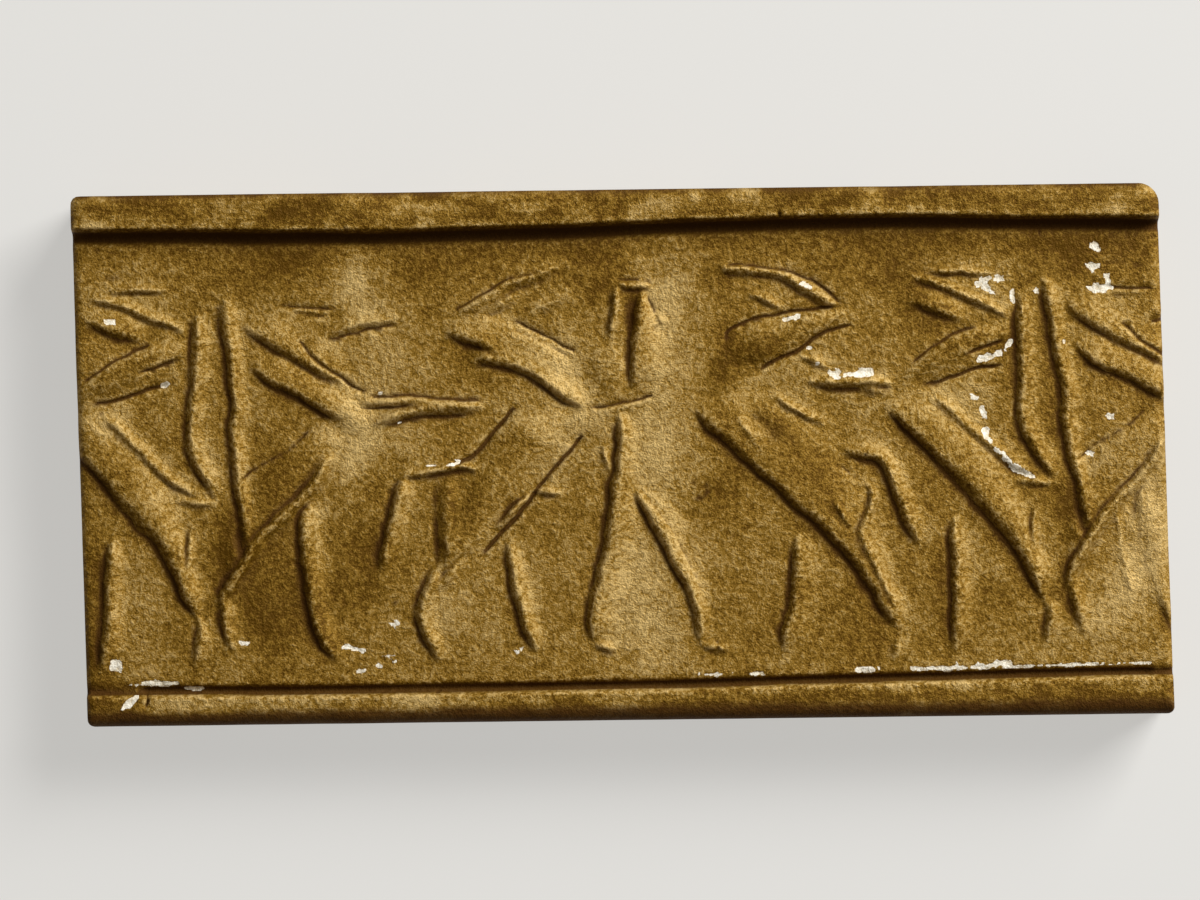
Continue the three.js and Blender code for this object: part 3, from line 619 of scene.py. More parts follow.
def ridge_shape(raster, wavered, cut, turn, lap):
    """Where a cut lies in the raster, how much of its rise it has there, where it is inside, and
    how much of a crease it leaves"""
    points = raster.place(cut["path"], turn, lap)
    widths = np.stack([spread(cut["left"], len(points)), spread(cut["right"], len(points))], -1)
    run, widths = smooth_run(points, widths)
    reach = widths.max() * TAIL + 0.1
    window = raster.window(run.min(0) - reach, run.max(0) + reach)
    x, y = wavered[0][window], wavered[1][window]
    legs = np.diff(run, axis=0)
    lengths = np.hypot(legs[:, 0], legs[:, 1])
    travelled = np.concatenate([[0], np.cumsum(lengths)])
    nearest = np.full(x.shape, np.inf)
    along = np.zeros(x.shape)
    half = np.ones(x.shape)
    gentle = np.zeros(x.shape, bool)
    for start, leg, length, before, ends in zip(run, legs, lengths, travelled,
                                                zip(widths[:-1], widths[1:])):
        dx, dy = x - start[0], y - start[1]
        share = np.clip((dx * leg[0] + dy * leg[1]) / length ** 2, 0, 1)
        away = np.hypot(dx - share * leg[0], dy - share * leg[1])
        closer = away < nearest
        on_left = leg[0] * dy - leg[1] * dx > 0
        width = np.where(on_left, ends[0][0] + share * (ends[1][0] - ends[0][0]),
                         ends[0][1] + share * (ends[1][1] - ends[0][1]))
        nearest = np.where(closer, away, nearest)
        along = np.where(closer, before + share * length, along)
        half = np.where(closer, width, half)
        gentle = np.where(closer, on_left, gentle)
    total = travelled[-1]
    from_end = np.minimum(along, total - along)
    fade = climb(from_end, 0, min(cut["run_out"], total / 2)) ** RUN_OUT_POWER
    half = half * (NARROWEST + (1 - NARROWEST) * fade)
    sharp = cut["rise"] > 0 and cut["roundness"] < SHARP_BELOW
    if sharp:
        half = np.where(gentle, TAIL * half, half)
    level = eased(1 - np.clip(nearest / half, 0, 1) ** cut["roundness"])
    crease = np.zeros(level.shape)
    if sharp:
        level = np.where(gentle, level ** TAIL_HOLLOW, level)
        # Painted shade: the crease along the foot of the side away from the light, later given the dirt
        # colour
        crease = np.exp(-((nearest - half) / CREASE_WIDTH) ** 2) * ~gentle * fade
        crease = crease * min(1.0, cut["rise"] / FULL_CREASE_RISE)
    elif cut["rise"] < 0:
        crease = level * fade * min(1.0, -cut["rise"] / FULL_CREASE_DEPTH)
    return window, level * fade, nearest < half, crease


# The cuts' edges waver by so much, over about such lengths: (how much, length)
WAVERS = [(0.09, 1.1), (0.05, 0.45)]
CUT_SOFTNESS = 0.03


def carved_relief(raster, lap, random):
    """Height of the figures above the field, for as many turns as the slab shows, and their creases"""
    drawing = [*staffs(), *outer_left_beast(), *inner_left_beast(), *winged_figure(),
               *inner_right_beast(), *outer_right_beast()]
    raised = [cut for cut in drawing if cut["rise"] > 0]
    sunk = [cut for cut in drawing if cut["rise"] < 0]
    wavered = [axis + raster.clouds(WAVERS, random) for axis in (raster.x, raster.y)]
    height = np.zeros(raster.x.shape)
    creases = np.zeros(raster.x.shape)
    for turn in (-1, 0, 1):
        for cut in raised + sunk:
            window, level, inside, crease = ridge_shape(raster, wavered, cut, turn, lap)
            here = height[window]
            creases[window] = np.maximum(creases[window], crease)
            if cut["rise"] > 0:
                added = cut["rise"] * level
                merged = np.maximum(here, added) + OVERLAP_SHARE * np.minimum(here, added)
                height[window] = np.where(inside, merged, here)
            else:
                height[window] = np.where(inside, here + cut["rise"] * level, here)
    return raster.blurred(height - CREASE_DEPTH * creases, CUT_SOFTNESS), creases


# The top rim rises over this width, and below it the field sinks in a soft hollow
EDGE_WANDER = 0.05
TOP_RIM_SLOPE = 0.25
TOP_HOLLOW_BELOW = 0.5
TOP_HOLLOW_REACH = 0.42
TOP_HOLLOW_DEPTH = 0.22

# The foot rim starts this far below the field's edge, and is turned over at the slab's own edge
FOOT_RIM_BELOW = 0.42
FOOT_RIM_SLOPE = 0.14
FOOT_RIM_TURN = 0.7
FOOT_TURN_FULLNESS = 0.98

# The groove between the field and the foot rim, nearly filled beyond its two ends
GROOVE_BELOW = 0.22
GROOVE_REACH = 0.26
GROOVE_DEPTH = 0.36
GROOVE_POWER = 0.7
GROOVE_ENDS = (-24.9, 26.8)
GROOVE_END_FADE = 0.5
FILLED_GROOVE = 0.25

# Painted shade below the top rim, where the rim's shadow falls on the field: how far below the top edge
# it starts to thin, and its reach; and a darker band along the foot edge
TOP_SHADE_FULL = 0.8
TOP_SHADE_REACH = 1.1
FOOT_SHADE = 0.8
FOOT_SHADE_REACH = 0.45


def with_rims(raster, sizes, field, random):
    """The field between its top rim and its foot rim, how much of each point is rim, and how dark it is
    painted beside the rims: painted shade below the top rim, and a darker band along the foot edge"""
    u, v = raster.along_seal(), raster.across_seal()
    wander = EDGE_WANDER * raster.cloud(3.0, random)
    top_edge = raster.blurred(np.interp(u, *zip(*TOP_EDGE)), 2.0) + wander
    foot_edge = raster.blurred(np.interp(u, *zip(*FOOT_EDGE)), 2.0) + wander * 0.6
    top = climb(v, top_edge - TOP_RIM_SLOPE, TOP_RIM_SLOPE)
    top_level = sizes.top_rim_rise / MM * (1 - 0.04 * raster.cloud(2.0, random) ** 2)
    foot = climb(foot_edge - FOOT_RIM_BELOW - v, 0, FOOT_RIM_SLOPE)
    from_slab_edge = raster.y + sizes.width / MM / 2
    fall = climb(FOOT_RIM_TURN - from_slab_edge, 0, FOOT_RIM_TURN)
    foot_level = sizes.foot_rim_rise / MM + 0.03 * raster.cloud(1.5, random)
    foot_level = foot_level - FOOT_RIM_TURN * (1 - np.sqrt(1 - fall ** 2 * FOOT_TURN_FULLNESS))
    groove = bank(v - (foot_edge - GROOVE_BELOW), GROOVE_REACH) ** GROOVE_POWER
    from_groove_end = np.minimum(u - GROOVE_ENDS[0], GROOVE_ENDS[1] - u)
    open_groove = climb(from_groove_end, 0, GROOVE_END_FADE)
    groove = groove * (FILLED_GROOVE + (1 - FILLED_GROOVE) * open_groove)
    field = field - TOP_HOLLOW_DEPTH * eased(bank(v - (top_edge - TOP_HOLLOW_BELOW), TOP_HOLLOW_REACH))
    level = field * (1 - top) + top_level * top
    level = np.where(v < foot_edge - 0.1, foot_level * foot, level) - GROOVE_DEPTH * groove
    # Painted shade on the field below the top rim, where the rim's shadow falls, thinning downwards
    below = np.clip(top_edge - TOP_SHADE_FULL - v, 0, None)
    shaded = np.exp(-below / TOP_SHADE_REACH) * (v < top_edge)
    shaded = shaded + FOOT_SHADE * bank(v - foot_edge, FOOT_SHADE_REACH)
    return level, np.maximum(top, foot), shaded


# How ragged a chip's outline is, over about such lengths: (how much, length)
RAGGEDNESS = [(0.45, 0.14), (0.45, 0.4)]
CHIP_MARGIN = 0.3

# The chips of the foot arris: how far above the edge they lie, how much of them is gaps, and the
# length over which they thin out at both ends
ARRIS_CHIP_RISE = 0.1
ARRIS_CHIP_GAPS = 0.3
ARRIS_CHIP_END = 0.5


def chip_mask(raster, random):
    """How far inside a chip each point lies: above 0 is chipped"""
    ragged = raster.clouds(RAGGEDNESS, random)
    mask = np.full(raster.x.shape, -1.0)
    for u, v, length, width, direction in CHIPS:
        window, along, across = raster.around(u, v, length, width, direction, length + CHIP_MARGIN)
        mask[window] = np.maximum(mask[window], 1.0 - np.hypot(along, across) + ragged[window])
    u, v = raster.along_seal(), raster.across_seal()
    foot_edge = np.interp(u, *zip(*FOOT_EDGE))
    for start, end, width in CHIPPED_ARRIS:
        inside = np.minimum(u - start, end - u) / ARRIS_CHIP_END
        near = 1 - np.abs(v - foot_edge - ARRIS_CHIP_RISE - width / 2) / width
        mask = np.maximum(mask, np.minimum(inside, near) - ARRIS_CHIP_GAPS + ragged)
    return mask


def soft_spots(raster, spots):
    """Each spot's amount at its middle, running out softly, all added up"""
    mask = np.zeros(raster.x.shape)
    for u, v, length, width, direction, amount in spots:
        reach = max(length, width)
        window, along, across = raster.around(u, v, length, width, direction, reach)
        mask[window] += amount * np.exp(-along ** 2 - across ** 2)
    return mask


def pit_mask(raster):
    """1 at the middle of each pinhole"""
    mask = np.zeros(raster.x.shape)
    size = 2 * PIT_RADIUS
    for u, v in PITS:
        window, along, across = raster.around(u, v, size, size, 0, size)
        mask[window] = np.maximum(mask[window], np.clip(1.6 - np.hypot(along, across), 0, 1))
    return mask


# Dirt and painted shade lie in hollows of three widths: (width, depth where it starts, more depth to all,
# how much)
HOLLOW_DIRT_AND_SHADE = [(0.3, 0.03, 0.2, 0.6), (0.11, 0.01, 0.04, 0.5), (0.8, 0.05, 0.25, 0.5)]
# Painted shade in the creases along the ridges' shaded sides, and dirt in the sunk lines
CREASE_SHADE = 0.55
CREASE_PATCHES = [(0.5, 0.5), (0.5, 2.0)]

# Dirt along the slab's top edge, and dirt with painted shade along its foot edge, whose rounding turns
# away from the light: their width, and how much of it at the top edge
TOP_EDGE_DIRT = 0.7
TOP_EDGE_DIRT_WIDTH = 0.35
FOOT_EDGE_DIRT_SHADE_WIDTH = 0.95
FOOT_EDGE_DIRT_SHADE_FADE = 0.4


def dirt_and_painted_shade(raster, sizes, level, creases, random):
    """Dirt and painted shade in hollows of all widths, painted shade in the creases on the ridges' shaded
    sides, dirt along the top edge, and dirt with painted shade along the foot edge
    """
    hollows = sum(amount * climb(raster.blurred(level, width) - level, start, span)
                  for width, start, span, amount in HOLLOW_DIRT_AND_SHADE)
    patches = np.clip(1 + raster.clouds(CREASE_PATCHES, random), 0, 2)
    half_width = sizes.width / MM / 2
    top_edge = climb(raster.y, half_width - TOP_EDGE_DIRT_WIDTH, TOP_EDGE_DIRT_WIDTH)
    # The foot edge's rounding turns from the light: painted shade there, with dirt
    from_foot = raster.y + half_width - 0.08 * raster.cloud(0.8, random)
    foot_edge = climb(FOOT_EDGE_DIRT_SHADE_WIDTH - from_foot, 0, FOOT_EDGE_DIRT_SHADE_FADE)
    return hollows + CREASE_SHADE * creases * patches + TOP_EDGE_DIRT * top_edge + foot_edge


# Painted shade at a ridge's foot, to its lower left, away from the light, and a painted highlight on its
# other edge, to its upper right, facing the light; the paint is also browner on its crest and on the open
# field: how far these reach and how much they are
LEE_REACH = 0.4
BROW_REACH = 0.22
LEE_SHADE = 0.65
BROW_HIGHLIGHT = -0.4
CREST_STAIN = 0.4
FIELD_STAIN = 0.12

# The stain of the rims, and what makes all stains patchy: (how much, length)
FOOT_RIM_STAIN = 0.5
TOP_RIM_STAIN = 0.35
STAIN_PATCHES = [(0.5, 1.6), (0.3, 0.6)]


def paint_stains_shade_and_highlight(raster, figures, rim, shaded, random):
    """Where the paint is browner than elsewhere, or paler below 0: stains, painted shade in the ridges'
    lee and below the top rim, and painted highlight on the ridges' upper right edges
    """
    fine, soft, wide = [raster.blurred(figures, radius) for radius in (0.1, 0.2, 0.4)]
    # Painted shade in the lee of the raised parts, to their lower left, away from the light
    lee_shade = raster.sampled(wide, raster.x + LEE_REACH, raster.y + LEE_REACH)
    lee_shade = climb(lee_shade - soft, 0, 0.2)
    # Painted highlight on the raised parts' edges that face the light, to their upper right
    brow_highlight = raster.sampled(soft, raster.x - BROW_REACH, raster.y - BROW_REACH)
    brow_highlight = climb(brow_highlight - fine, 0, 0.12)
    crest = climb(fine, 0.08, 0.12) * (1 - brow_highlight)
    open_field = (1 - climb(raster.blurred(figures, 0.6), 0, 0.12)) * (1 - rim)
    patchy = 1 + raster.clouds(STAIN_PATCHES, random)
    on_rim = np.where(raster.y < 0, FOOT_RIM_STAIN, TOP_RIM_STAIN) + 0.6 * raster.cloud(0.7, random)
    stain_and_painted_light = (soft_spots(raster, STAIN_SHADE_AND_HIGHLIGHT_SPOTS) + LEE_SHADE * lee_shade) * patchy + shaded
    stain_and_painted_light = stain_and_painted_light + CREST_STAIN * crest + BROW_HIGHLIGHT * brow_highlight + FIELD_STAIN * open_field
    return stain_and_painted_light + on_rim * rim


# Paint is rubbed off bumps of two widths: (width, height to all, how much)
RUBBED_BUMPS = [(0.3, 0.16, 0.7), (0.11, 0.04, 0.6)]


def rubbed_paint(raster, level, rim, shaded):
    """How much paint is rubbed off what stands up, less on the rims and beside them"""
    rub = sum(amount * climb(level - raster.blurred(level, width), 0, span)
              for width, span, amount in RUBBED_BUMPS)
    return rub * (1 - 0.5 * rim) * (1 - 0.5 * np.clip(shaded, 0, 1))


# Waves of the field and its finest grain: (how much, length)
FIELD_WAVES = [(0.045, 5.0), (0.03, 2.2), (0.024, 0.9)]
GRAIN = [(0.008, 0.22)]
PAINT_SOFTNESS = 0.02
CHIP_DEPTH = 0.06
CHIP_EDGE = 0.12


def work_out_face(sizes):
    """The relief and its wear on a raster: height above the field, and how strong each wear, stain,
    painted shade and painted highlight is
    """
    raster = FaceRaster(sizes.length / MM, sizes.width / MM, sizes.raster_step / MM, sizes.roll_tilt)
    random = np.random.default_rng(sizes.seed)
    figures, creases = carved_relief(raster, math.pi * sizes.seal_diameter / MM, random)
    figures = figures * (1 - soft_spots(raster, WORN_DOWN))
    field = figures + raster.clouds(FIELD_WAVES, random)
    level, rim, shaded = with_rims(raster, sizes, field, random)
    for cut in scratches():
        window, depth, inside, crease = ridge_shape(raster, (raster.x, raster.y), cut, 0, 0.0)
        level[window] += np.where(inside, cut["rise"] * depth, 0)
        creases[window] = np.maximum(creases[window], crease)
    chips = chip_mask(raster, random)
    pits = pit_mask(raster)
    level = raster.blurred(level, PAINT_SOFTNESS)
    dirt_and_shade = dirt_and_painted_shade(raster, sizes, level, creases, random)
    stain_and_painted_light = paint_stains_shade_and_highlight(raster, figures, rim, shaded, random)
    rub = rubbed_paint(raster, level, rim, shaded)
    level = level - CHIP_DEPTH * np.clip(chips, 0, 1) - PIT_DEPTH * pits
    return raster, {
        "level": level + raster.clouds(GRAIN, random),
        # Pinholes are darkened too, with dirt and painted shade
        "dirt_and_shade": np.clip(dirt_and_shade + 0.9 * pits, 0, 1.3),
        "rub": np.clip(rub, 0, 1),
        "chip": climb(chips, 0, CHIP_EDGE),
        "rim": rim,
        "stain_and_painted_light": np.clip(stain_and_painted_light, -1.2, 1.2),
    }


# The corners' roundings as seen from above, by the signs of their x and y
CORNER_ROUNDS = {(-1, 1): 0.4 * MM, (-1, -1): 0.35 * MM, (1, -1): 0.35 * MM, (1, 1): 1.0 * MM}


def on_outline(sizes, s, t):
    """Points of a square from -1 to 1 as points of the slab's plan with its leaning ends, in metres"""
    half_length = (sizes.length - sizes.end_skew) / 2
    half_width = sizes.width / 2
    x, y = s * half_length, t * half_width
    for (side, end), radius in CORNER_ROUNDS.items():
        a = (side * x - (half_length - radius)) / radius
        b = (end * y - (half_width - radius)) / radius
        corner = (a > 0) & (b > 0)
        bent_a = a * np.sqrt(np.maximum(1 - b ** 2 / 2, 0))
        bent_b = b * np.sqrt(np.maximum(1 - a ** 2 / 2, 0))
        x = np.where(corner, side * (half_length - radius + bent_a * radius), x)
        y = np.where(corner, end * (half_width - radius + bent_b * radius), y)
    x = x - sizes.end_skew / 2 * y / half_width
    return x, y


# The slab's outer edges are turned over by this much, nearly to a full quarter circle
EDGE_ROUND = 0.22 * MM
EDGE_FULLNESS = 0.96

# The rings of the walls, as shares of the way down. The full ones keep the slab's outline, the last
# one is drawn in by the edges' rounding, and the others are uneven by so much over such a length
WALL_RINGS = (0.18, 0.5, 0.8, 0.96, 1.0)
FULL_RINGS = (0.18, 0.8)
WALL_UNEVENNESS = 0.02 * MM
WALL_PATCH = 1.2

# The wear of the walls and the back, where none is worked out, and how patchy the dirt is there
PLAIN_WEAR = {"dirt_and_shade": 0.25, "rub": 0.1, "chip": 0.0, "rim": 0.6, "stain_and_painted_light": 0.4}
PLAIN_DIRT_PATCHES = 0.2

# Mesh cells are cut finer where the face differs by the detail level from itself blurred by the
# detail width, in millimetres, or where it is chipped, and a little around such places
DETAIL_LEVEL = 0.018
DETAIL_WIDTH = 0.2
DETAIL_MARGIN = 0.12
CHIP_DETAIL = 0.1
FINE_CUTS = 2


def rough_out_slab(sizes, raster, face):
    """The slab as a flat bmesh grid, finer where the relief is, with walls and a back.
    A vertex's Z is 0 on the face and minus its ring's number on the walls."""
    bm = bmesh.new()
    columns = round(sizes.length / sizes.coarse_cell)
    rows = round(sizes.width / sizes.coarse_cell)
    bmesh.ops.create_grid(bm, x_segments=columns, y_segments=rows, size=1.0)
    level = face["level"]
    detail = np.abs(level - raster.blurred(level, DETAIL_WIDTH)) + CHIP_DETAIL * face["chip"]
    detail = raster.blurred(detail, DETAIL_MARGIN)
    s, t = np.array([v.co.xy for v in bm.verts]).T
    x, y = on_outline(sizes, s, t)
    fine = raster.sampled(detail, x / MM, y / MM) > DETAIL_LEVEL
    busy = [e for e in bm.edges if fine[e.verts[0].index] and fine[e.verts[1].index]]
    bmesh.ops.subdivide_edges(bm, edges=busy, cuts=FINE_CUTS, use_grid_fill=True)
    rim = [e for e in bm.edges if e.is_boundary]
    for ring in range(1, len(WALL_RINGS) + 1):
        made = bmesh.ops.extrude_edge_only(bm, edges=rim)["geom"]
        for vert in (item for item in made if isinstance(item, bmesh.types.BMVert)):
            vert.co.z = -ring
        rim = [item for item in made if isinstance(item, bmesh.types.BMEdge) and item.is_boundary]
    bmesh.ops.contextual_create(bm, geom=rim)
    bmesh.ops.recalc_face_normals(bm, faces=bm.faces)
    return bm


def shape_slab(mesh, sizes, raster, face):
    """Gives every vertex its real place and its wear"""
    flat = np.empty(len(mesh.vertices) * 3)
    mesh.vertices.foreach_get("co", flat)
    s, t, ring = flat.reshape(-1, 3).T
    x, y = on_outline(sizes, s, t)
    field = sizes.thickness - sizes.top_rim_rise
    top = field + raster.sampled(face["level"], x / MM, y / MM) * MM
    to_side = np.minimum(sizes.length / 2 * (1 - np.abs(s)), sizes.width / 2 * (1 - np.abs(t)))
    near = bank(to_side, EDGE_ROUND)
    top = np.minimum(top, sizes.thickness) - EDGE_ROUND * (1 - np.sqrt(1 - near ** 2 * EDGE_FULLNESS))
    depths = np.array([0.0, *WALL_RINGS])
    depth = depths[np.rint(-ring).astype(int)]
    z = top * (1 - depth)
    random = np.random.default_rng(sizes.seed + 1)
    uneven = raster.sampled(raster.cloud(WALL_PATCH, random), x / MM + 5 * depth, y / MM)
    inward = WALL_UNEVENNESS * (1 + uneven).clip(0, 3)
    inward = np.where((depth == 0) | np.isin(depth, FULL_RINGS), 0, inward)
    inward = np.where(depth == 1, EDGE_ROUND, inward)
    x = x * (1 - inward / (sizes.length / 2))
    y = y * (1 - inward / (sizes.width / 2))
    mesh.vertices.foreach_set("co", np.stack([x, y, z], -1).ravel())
    for name, plain in PLAIN_WEAR.items():
        if name == "dirt_and_shade":
            plain = plain + PLAIN_DIRT_PATCHES * uneven
        values = raster.sampled(face[name], x / MM, y / MM)
        layer = mesh.attributes.new(name, "FLOAT", "POINT")
        layer.data.foreach_set("value", np.where(depth == 0, values, plain))
    mesh.update()


class NodeSheet:
    """Short calls for building one material's nodes"""

    def __init__(self, name):
        self.material = bpy.data.materials.new(name)
        self.material.use_nodes = True
        self.tree = self.material.node_tree
        self.shader = self.tree.nodes["Principled BSDF"]

    def join(self, socket, value):
        """Links the value to the socket, or sets it there if it is a plain one"""
        if isinstance(value, bpy.types.NodeSocket):
            self.tree.links.new(value, socket)
        else:
            socket.default_value = value

    def noise(self, place, scale, detail, roughness):
        """Noise with that many waves in a metre, about 0.5 in its middle"""
        node = self.tree.nodes.new("ShaderNodeTexNoise")
        self.join(node.inputs["Vector"], place)
        node.inputs["Scale"].default_value = scale
        node.inputs["Detail"].default_value = detail
        node.inputs["Roughness"].default_value = roughness
        return node.outputs["Fac"]

    def attribute(self, name):
        """A wear of the mesh"""
        node = self.tree.nodes.new("ShaderNodeAttribute")
        node.attribute_name = name
        return node.outputs["Fac"]

    def math(self, operation, *values, clamp=False):
        """One sum, product and so on of sockets or numbers"""
        node = self.tree.nodes.new("ShaderNodeMath")
        node.operation = operation
        node.use_clamp = clamp
        for socket, value in zip(node.inputs, values):
            self.join(socket, value)
        return node.outputs[0]

    def total(self, start, *parts):
        """The start and every part, as (value, weight), times its weight, added up"""
        for value, weight in parts:
            start = self.math("MULTIPLY_ADD", value, weight, start)
        return start

    def ramp(self, value, low, high):
        """0 below low, 1 above high"""
        node = self.tree.nodes.new("ShaderNodeMapRange")
        self.join(node.inputs["Value"], value)
        node.inputs["From Min"].default_value = low
        node.inputs["From Max"].default_value = high
        return node.outputs["Result"]

    def mix(self, share, first, second):
        """The first colour where the share is 0, the second where it is 1"""
        node = self.tree.nodes.new("ShaderNodeMix")
        node.data_type = "RGBA"
        self.join(node.inputs[0], share)
        for socket, colour in ((node.inputs[6], first), (node.inputs[7], second)):
            is_socket = isinstance(colour, bpy.types.NodeSocket)
            self.join(socket, colour if is_socket else (*colour, 1.0))
        return node.outputs[2]

    def bump(self, height, distance, strength, normal=None):
        """A normal that the height bends, on top of another normal if there is one"""
        node = self.tree.nodes.new("ShaderNodeBump")
        node.inputs["Strength"].default_value = strength
        node.inputs["Distance"].default_value = distance
        self.join(node.inputs["Height"], height)
        if normal is not None:
            self.join(node.inputs["Normal"], normal)
        return node.outputs["Normal"]


def bronze_painted_plaster(colours):
    """Bronze paint over plaster: mottled, rubbed bright on the ridges, soiled and painted with shade in
    the recesses and creases, and painted with highlight on the ridges' lit edges
    """
    sheet = NodeSheet("bronze_painted_plaster")
    place = sheet.tree.nodes.new("ShaderNodeTexCoord").outputs["Object"]
    stretch = sheet.tree.nodes.new("ShaderNodeMapping")
    stretch.inputs["Scale"].default_value = (0.22, 1.0, 1.0)
    sheet.join(stretch.inputs["Vector"], place)
    blotch = sheet.noise(place, scale=260, detail=4, roughness=0.6)
    cloudy = sheet.noise(place, scale=900, detail=5, roughness=0.65)
    grain = sheet.noise(place, scale=3900, detail=3, roughness=0.7)
    speck = sheet.noise(place, scale=11000, detail=2, roughness=0.6)
    streak = sheet.noise(stretch.outputs["Vector"], scale=1500, detail=5, roughness=0.7)
    dirt_and_shade, rub = sheet.attribute("dirt_and_shade"), sheet.attribute("rub")
    chip, rim, stain_and_painted_light = sheet.attribute("chip"), sheet.attribute("rim"), sheet.attribute("stain_and_painted_light")

    worn = sheet.math("MULTIPLY", rub, sheet.ramp(grain, 0.4, 0.62))
    streaky = sheet.math("MULTIPLY", rim, sheet.math("SUBTRACT", sheet.ramp(streak, 0.35, 0.65), 0.75))
    # The tone: grain, mottling and rubbed paint raise it and stains lower it; the same attribute also
    # lowers it as painted shade in the ridges' lee and below the top rim, and raises it as painted
    # highlight on their lit edges
    tone = sheet.total(
        -0.5, (sheet.ramp(blotch, 0.3, 0.7), 0.30), (sheet.ramp(cloudy, 0.3, 0.7), 0.26),
        (sheet.ramp(grain, 0.34, 0.66), 0.56), (speck, 1.0), (rub, 0.15), (worn, 0.5),
        (stain_and_painted_light, -0.36), (streaky, 0.45),
    )
    low = sheet.mix(sheet.ramp(tone, 0.1, 0.5), colours.bronze_dark, colours.bronze)
    bronze = sheet.mix(sheet.ramp(tone, 0.5, 1.15), low, colours.bronze_light)

    # Dirt and painted shade: the creases on the ridges' shaded sides, the hollows and the foot edge turn
    # the paint towards the dirt colour
    settled_and_shaded = sheet.total(-0.25, (dirt_and_shade, 1.0), (cloudy, 0.5), (stain_and_painted_light, 0.16))
    pinholes = sheet.math("MULTIPLY", sheet.ramp(speck, 0.68, 0.76), 0.5)
    soiled_and_shaded = sheet.math("MULTIPLY", sheet.ramp(settled_and_shaded, 0.12, 0.95), 0.93)
    soiled_and_shaded = sheet.math("MAXIMUM", soiled_and_shaded, pinholes)
    painted = sheet.mix(soiled_and_shaded, bronze, colours.dirt_and_shade)

    bare = sheet.ramp(sheet.total(-0.4, (chip, 1.0), (grain, 0.8)), 0.42, 0.56)
    plaster = sheet.mix(sheet.ramp(grain, 0.35, 0.6), colours.plaster_dark, colours.plaster)
    sheet.join(sheet.shader.inputs["Base Color"], sheet.mix(bare, painted, plaster))

    dull = sheet.math("MAXIMUM", bare, soiled_and_shaded)
    covered = sheet.math("SUBTRACT", 1.0, dull, clamp=True)
    sheet.join(sheet.shader.inputs["Metallic"], sheet.math("MULTIPLY", covered, 0.3))
    sheet.shader.inputs["Specular IOR Level"].default_value = 0.14
    sheet.join(sheet.shader.inputs["Roughness"], sheet.total(0.44, (grain, 0.16), (dull, 0.3)))
    fine = sheet.bump(speck, 0.045 * MM, 0.8)
    coarse = sheet.bump(grain, 0.105 * MM, 1.0, fine)
    sheet.join(sheet.shader.inputs["Normal"], sheet.bump(cloudy, 0.15 * MM, 0.5, coarse))
    return sheet.material


class OBJECT_OT_build_impression_cast(bpy.types.Operator):
    """Build the slab with its rims, its relief and its wear, in place of its plain solid"""

    bl_idname = "object.build_impression_cast"
    bl_label = "Impression cast"

    def execute(self, context):
        sizes = context.scene.cast_sizes
        raster, face = work_out_face(sizes)
        bm = rough_out_slab(sizes, raster, face)
        mesh = bpy.data.meshes.new("relief_cast")
        bm.to_mesh(mesh)
        bm.free()
        shape_slab(mesh, sizes, raster, face)
        mesh.polygons.foreach_set("use_smooth", [True] * len(mesh.polygons))
        mesh.materials.append(bronze_painted_plaster(context.scene.cast_colours))
        cast = bpy.data.objects.new("relief_cast", mesh)
        context.collection.objects.link(cast)
        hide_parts(CAST_NODE)
        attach(cast, "root")
        return {"FINISHED"}


# The floor lies this little under the slab, so that their faces don't lie in one plane
FLOOR_GAP = 0.02 * MM
FLOOR_HALF_SIZE = 1.5


def lay_floor(look):
    """The plain floor, which gives some light by itself"""
    bm = bmesh.new()
    under = Matrix.Translation((0, 0, -FLOOR_GAP))
    bmesh.ops.create_grid(bm, x_segments=1, y_segments=1, size=FLOOR_HALF_SIZE, matrix=under)
    mesh = bpy.data.meshes.new("floor")
    bm.to_mesh(mesh)
    bm.free()
    floor = bpy.data.objects.new("floor", mesh)
    bpy.context.collection.objects.link(floor)
    material = bpy.data.materials.new("plain_floor")
    material.use_nodes = True
    shader = material.node_tree.nodes["Principled BSDF"]
    shader.inputs["Base Color"].default_value = (*look.floor, 1.0)
    shader.inputs["Roughness"].default_value = 0.85
    shader.inputs["Emission Color"].default_value = (*look.floor_glow_colour, 1.0)
    shader.inputs["Emission Strength"].default_value = look.floor_glow
    mesh.materials.append(material)


def area_light(name, power, colour, size, azimuth, elevation, distance):
    """A soft light that shines at the slab from that side"""
    light = bpy.data.lights.new(name, "AREA")
    light.energy = power
    light.size = size
    light.color = colour
    lamp = bpy.data.objects.new(name, light)
    a, e = math.radians(azimuth), math.radians(elevation)
    lamp.location = distance * Vector((math.cos(a) * math.cos(e), math.sin(a) * math.cos(e), math.sin(e)))
    lamp.rotation_euler = lamp.location.to_track_quat("Z", "Y").to_euler()
    bpy.context.collection.objects.link(lamp)


def hang_lights(scene, look):
    """The key light, a weak fill light from the other side and an even light all round"""
    area_light("key", look.key_power, look.key_colour, size=0.3, azimuth=43, elevation=34, distance=0.55)
    area_light("fill", look.fill_power, (1, 1, 1), size=0.5, azimuth=205, elevation=60, distance=0.6)
    world = bpy.data.worlds.new("sky")
    world.use_nodes = True
    background = world.node_tree.nodes["Background"]
    background.inputs["Color"].default_value = (*look.sky_colour, 1.0)
    background.inputs["Strength"].default_value = look.sky
    scene.world = world


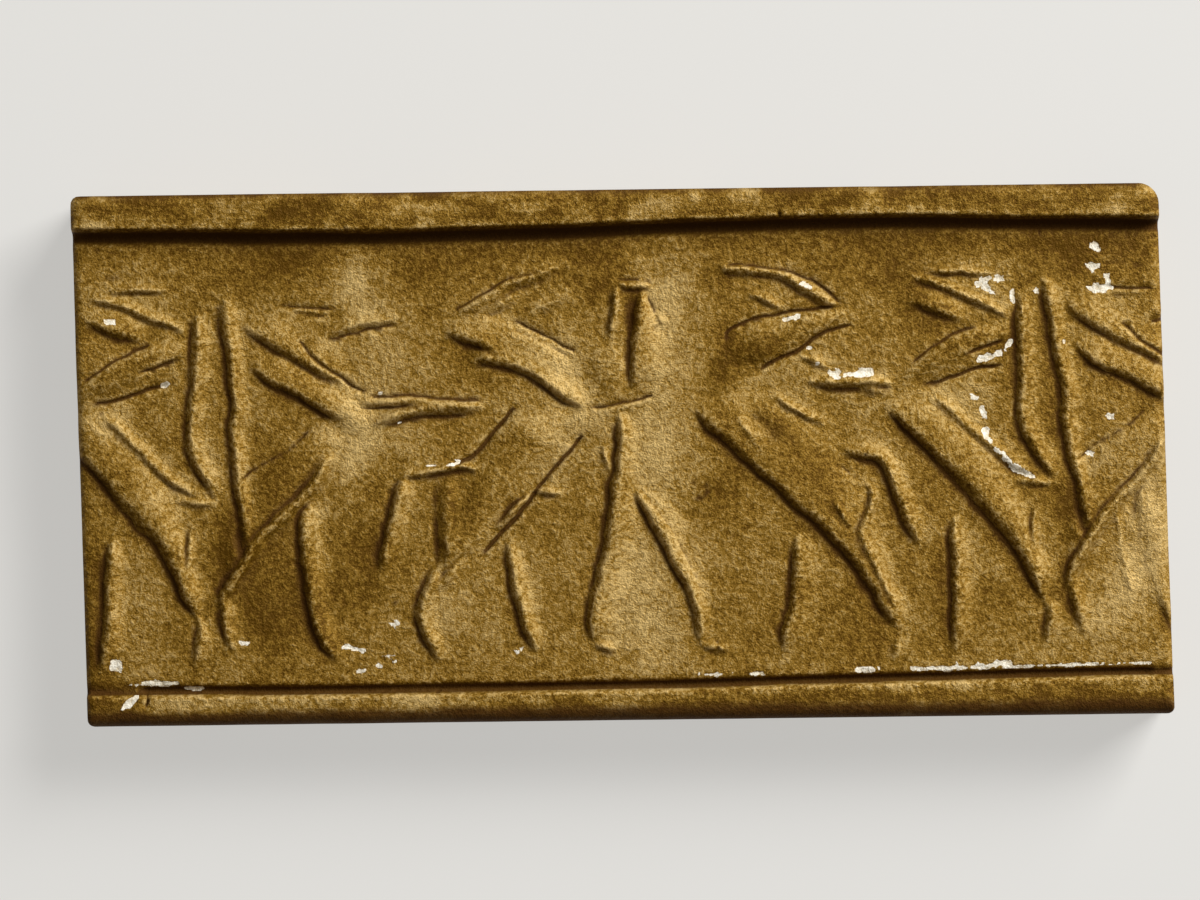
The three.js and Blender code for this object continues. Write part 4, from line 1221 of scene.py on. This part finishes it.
def set_camera(scene):
    """The camera straight above the slab, at its distance from the field"""
    data = bpy.data.cameras.new("camera")
    data.sensor_width = SENSOR_WIDTH
    data.lens = SENSOR_WIDTH * CAMERA_DISTANCE / VIEW_WIDTH
    data.clip_start = 10 * MM
    camera = bpy.data.objects.new("camera", data)
    camera.location = (*CAMERA_OVER, CAMERA_DISTANCE + (CAST_HIGH.z - TOP_RIM_RISE))
    camera.rotation_euler = (0, 0, CAMERA_TURN)
    bpy.context.collection.objects.link(camera)
    scene.camera = camera


class SCENE_OT_set_studio(bpy.types.Operator):
    """Lay the plain floor, hang the lights and set the camera over the cast"""

    bl_idname = "scene.set_studio"
    bl_label = "Studio"

    def execute(self, context):
        lay_floor(context.scene.stage_look)
        hang_lights(context.scene, context.scene.stage_look)
        set_camera(context.scene)
        context.scene.view_settings.view_transform = "Standard"
        return {"FINISHED"}


class VIEW3D_PT_impression(bpy.types.Panel):
    """Sizes, colours and building steps of the impression cast"""

    bl_idname = "VIEW3D_PT_impression"
    bl_label = "Seal impression"
    bl_space_type = "VIEW_3D"
    bl_region_type = "UI"
    bl_category = "Impression"

    def draw(self, context):
        layout = self.layout
        for group in (context.scene.cast_sizes, context.scene.cast_colours, context.scene.stage_look):
            column = layout.column(align=True)
            for name in group.bl_rna.properties.keys():
                if name not in ("rna_type", "name"):
                    column.prop(group, name)
        layout.operator(OBJECT_OT_build_impression_cast.bl_idname)
        layout.operator(SCENE_OT_set_studio.bl_idname)


CLASSES = (
    CastSizes, CastColours, StageLook,
    OBJECT_OT_build_impression_cast, SCENE_OT_set_studio, VIEW3D_PT_impression,
)


def register():
    for cls in CLASSES:
        bpy.utils.register_class(cls)
    bpy.types.Scene.cast_sizes = PointerProperty(type=CastSizes)
    bpy.types.Scene.cast_colours = PointerProperty(type=CastColours)
    bpy.types.Scene.stage_look = PointerProperty(type=StageLook)


def unregister():
    del bpy.types.Scene.stage_look
    del bpy.types.Scene.cast_colours
    del bpy.types.Scene.cast_sizes
    for cls in reversed(CLASSES):
        bpy.utils.unregister_class(cls)


def main():
    register()
    bpy.ops.object.build_impression_cast()
    bpy.ops.scene.set_studio()


if __name__ == "__main__":
    main()
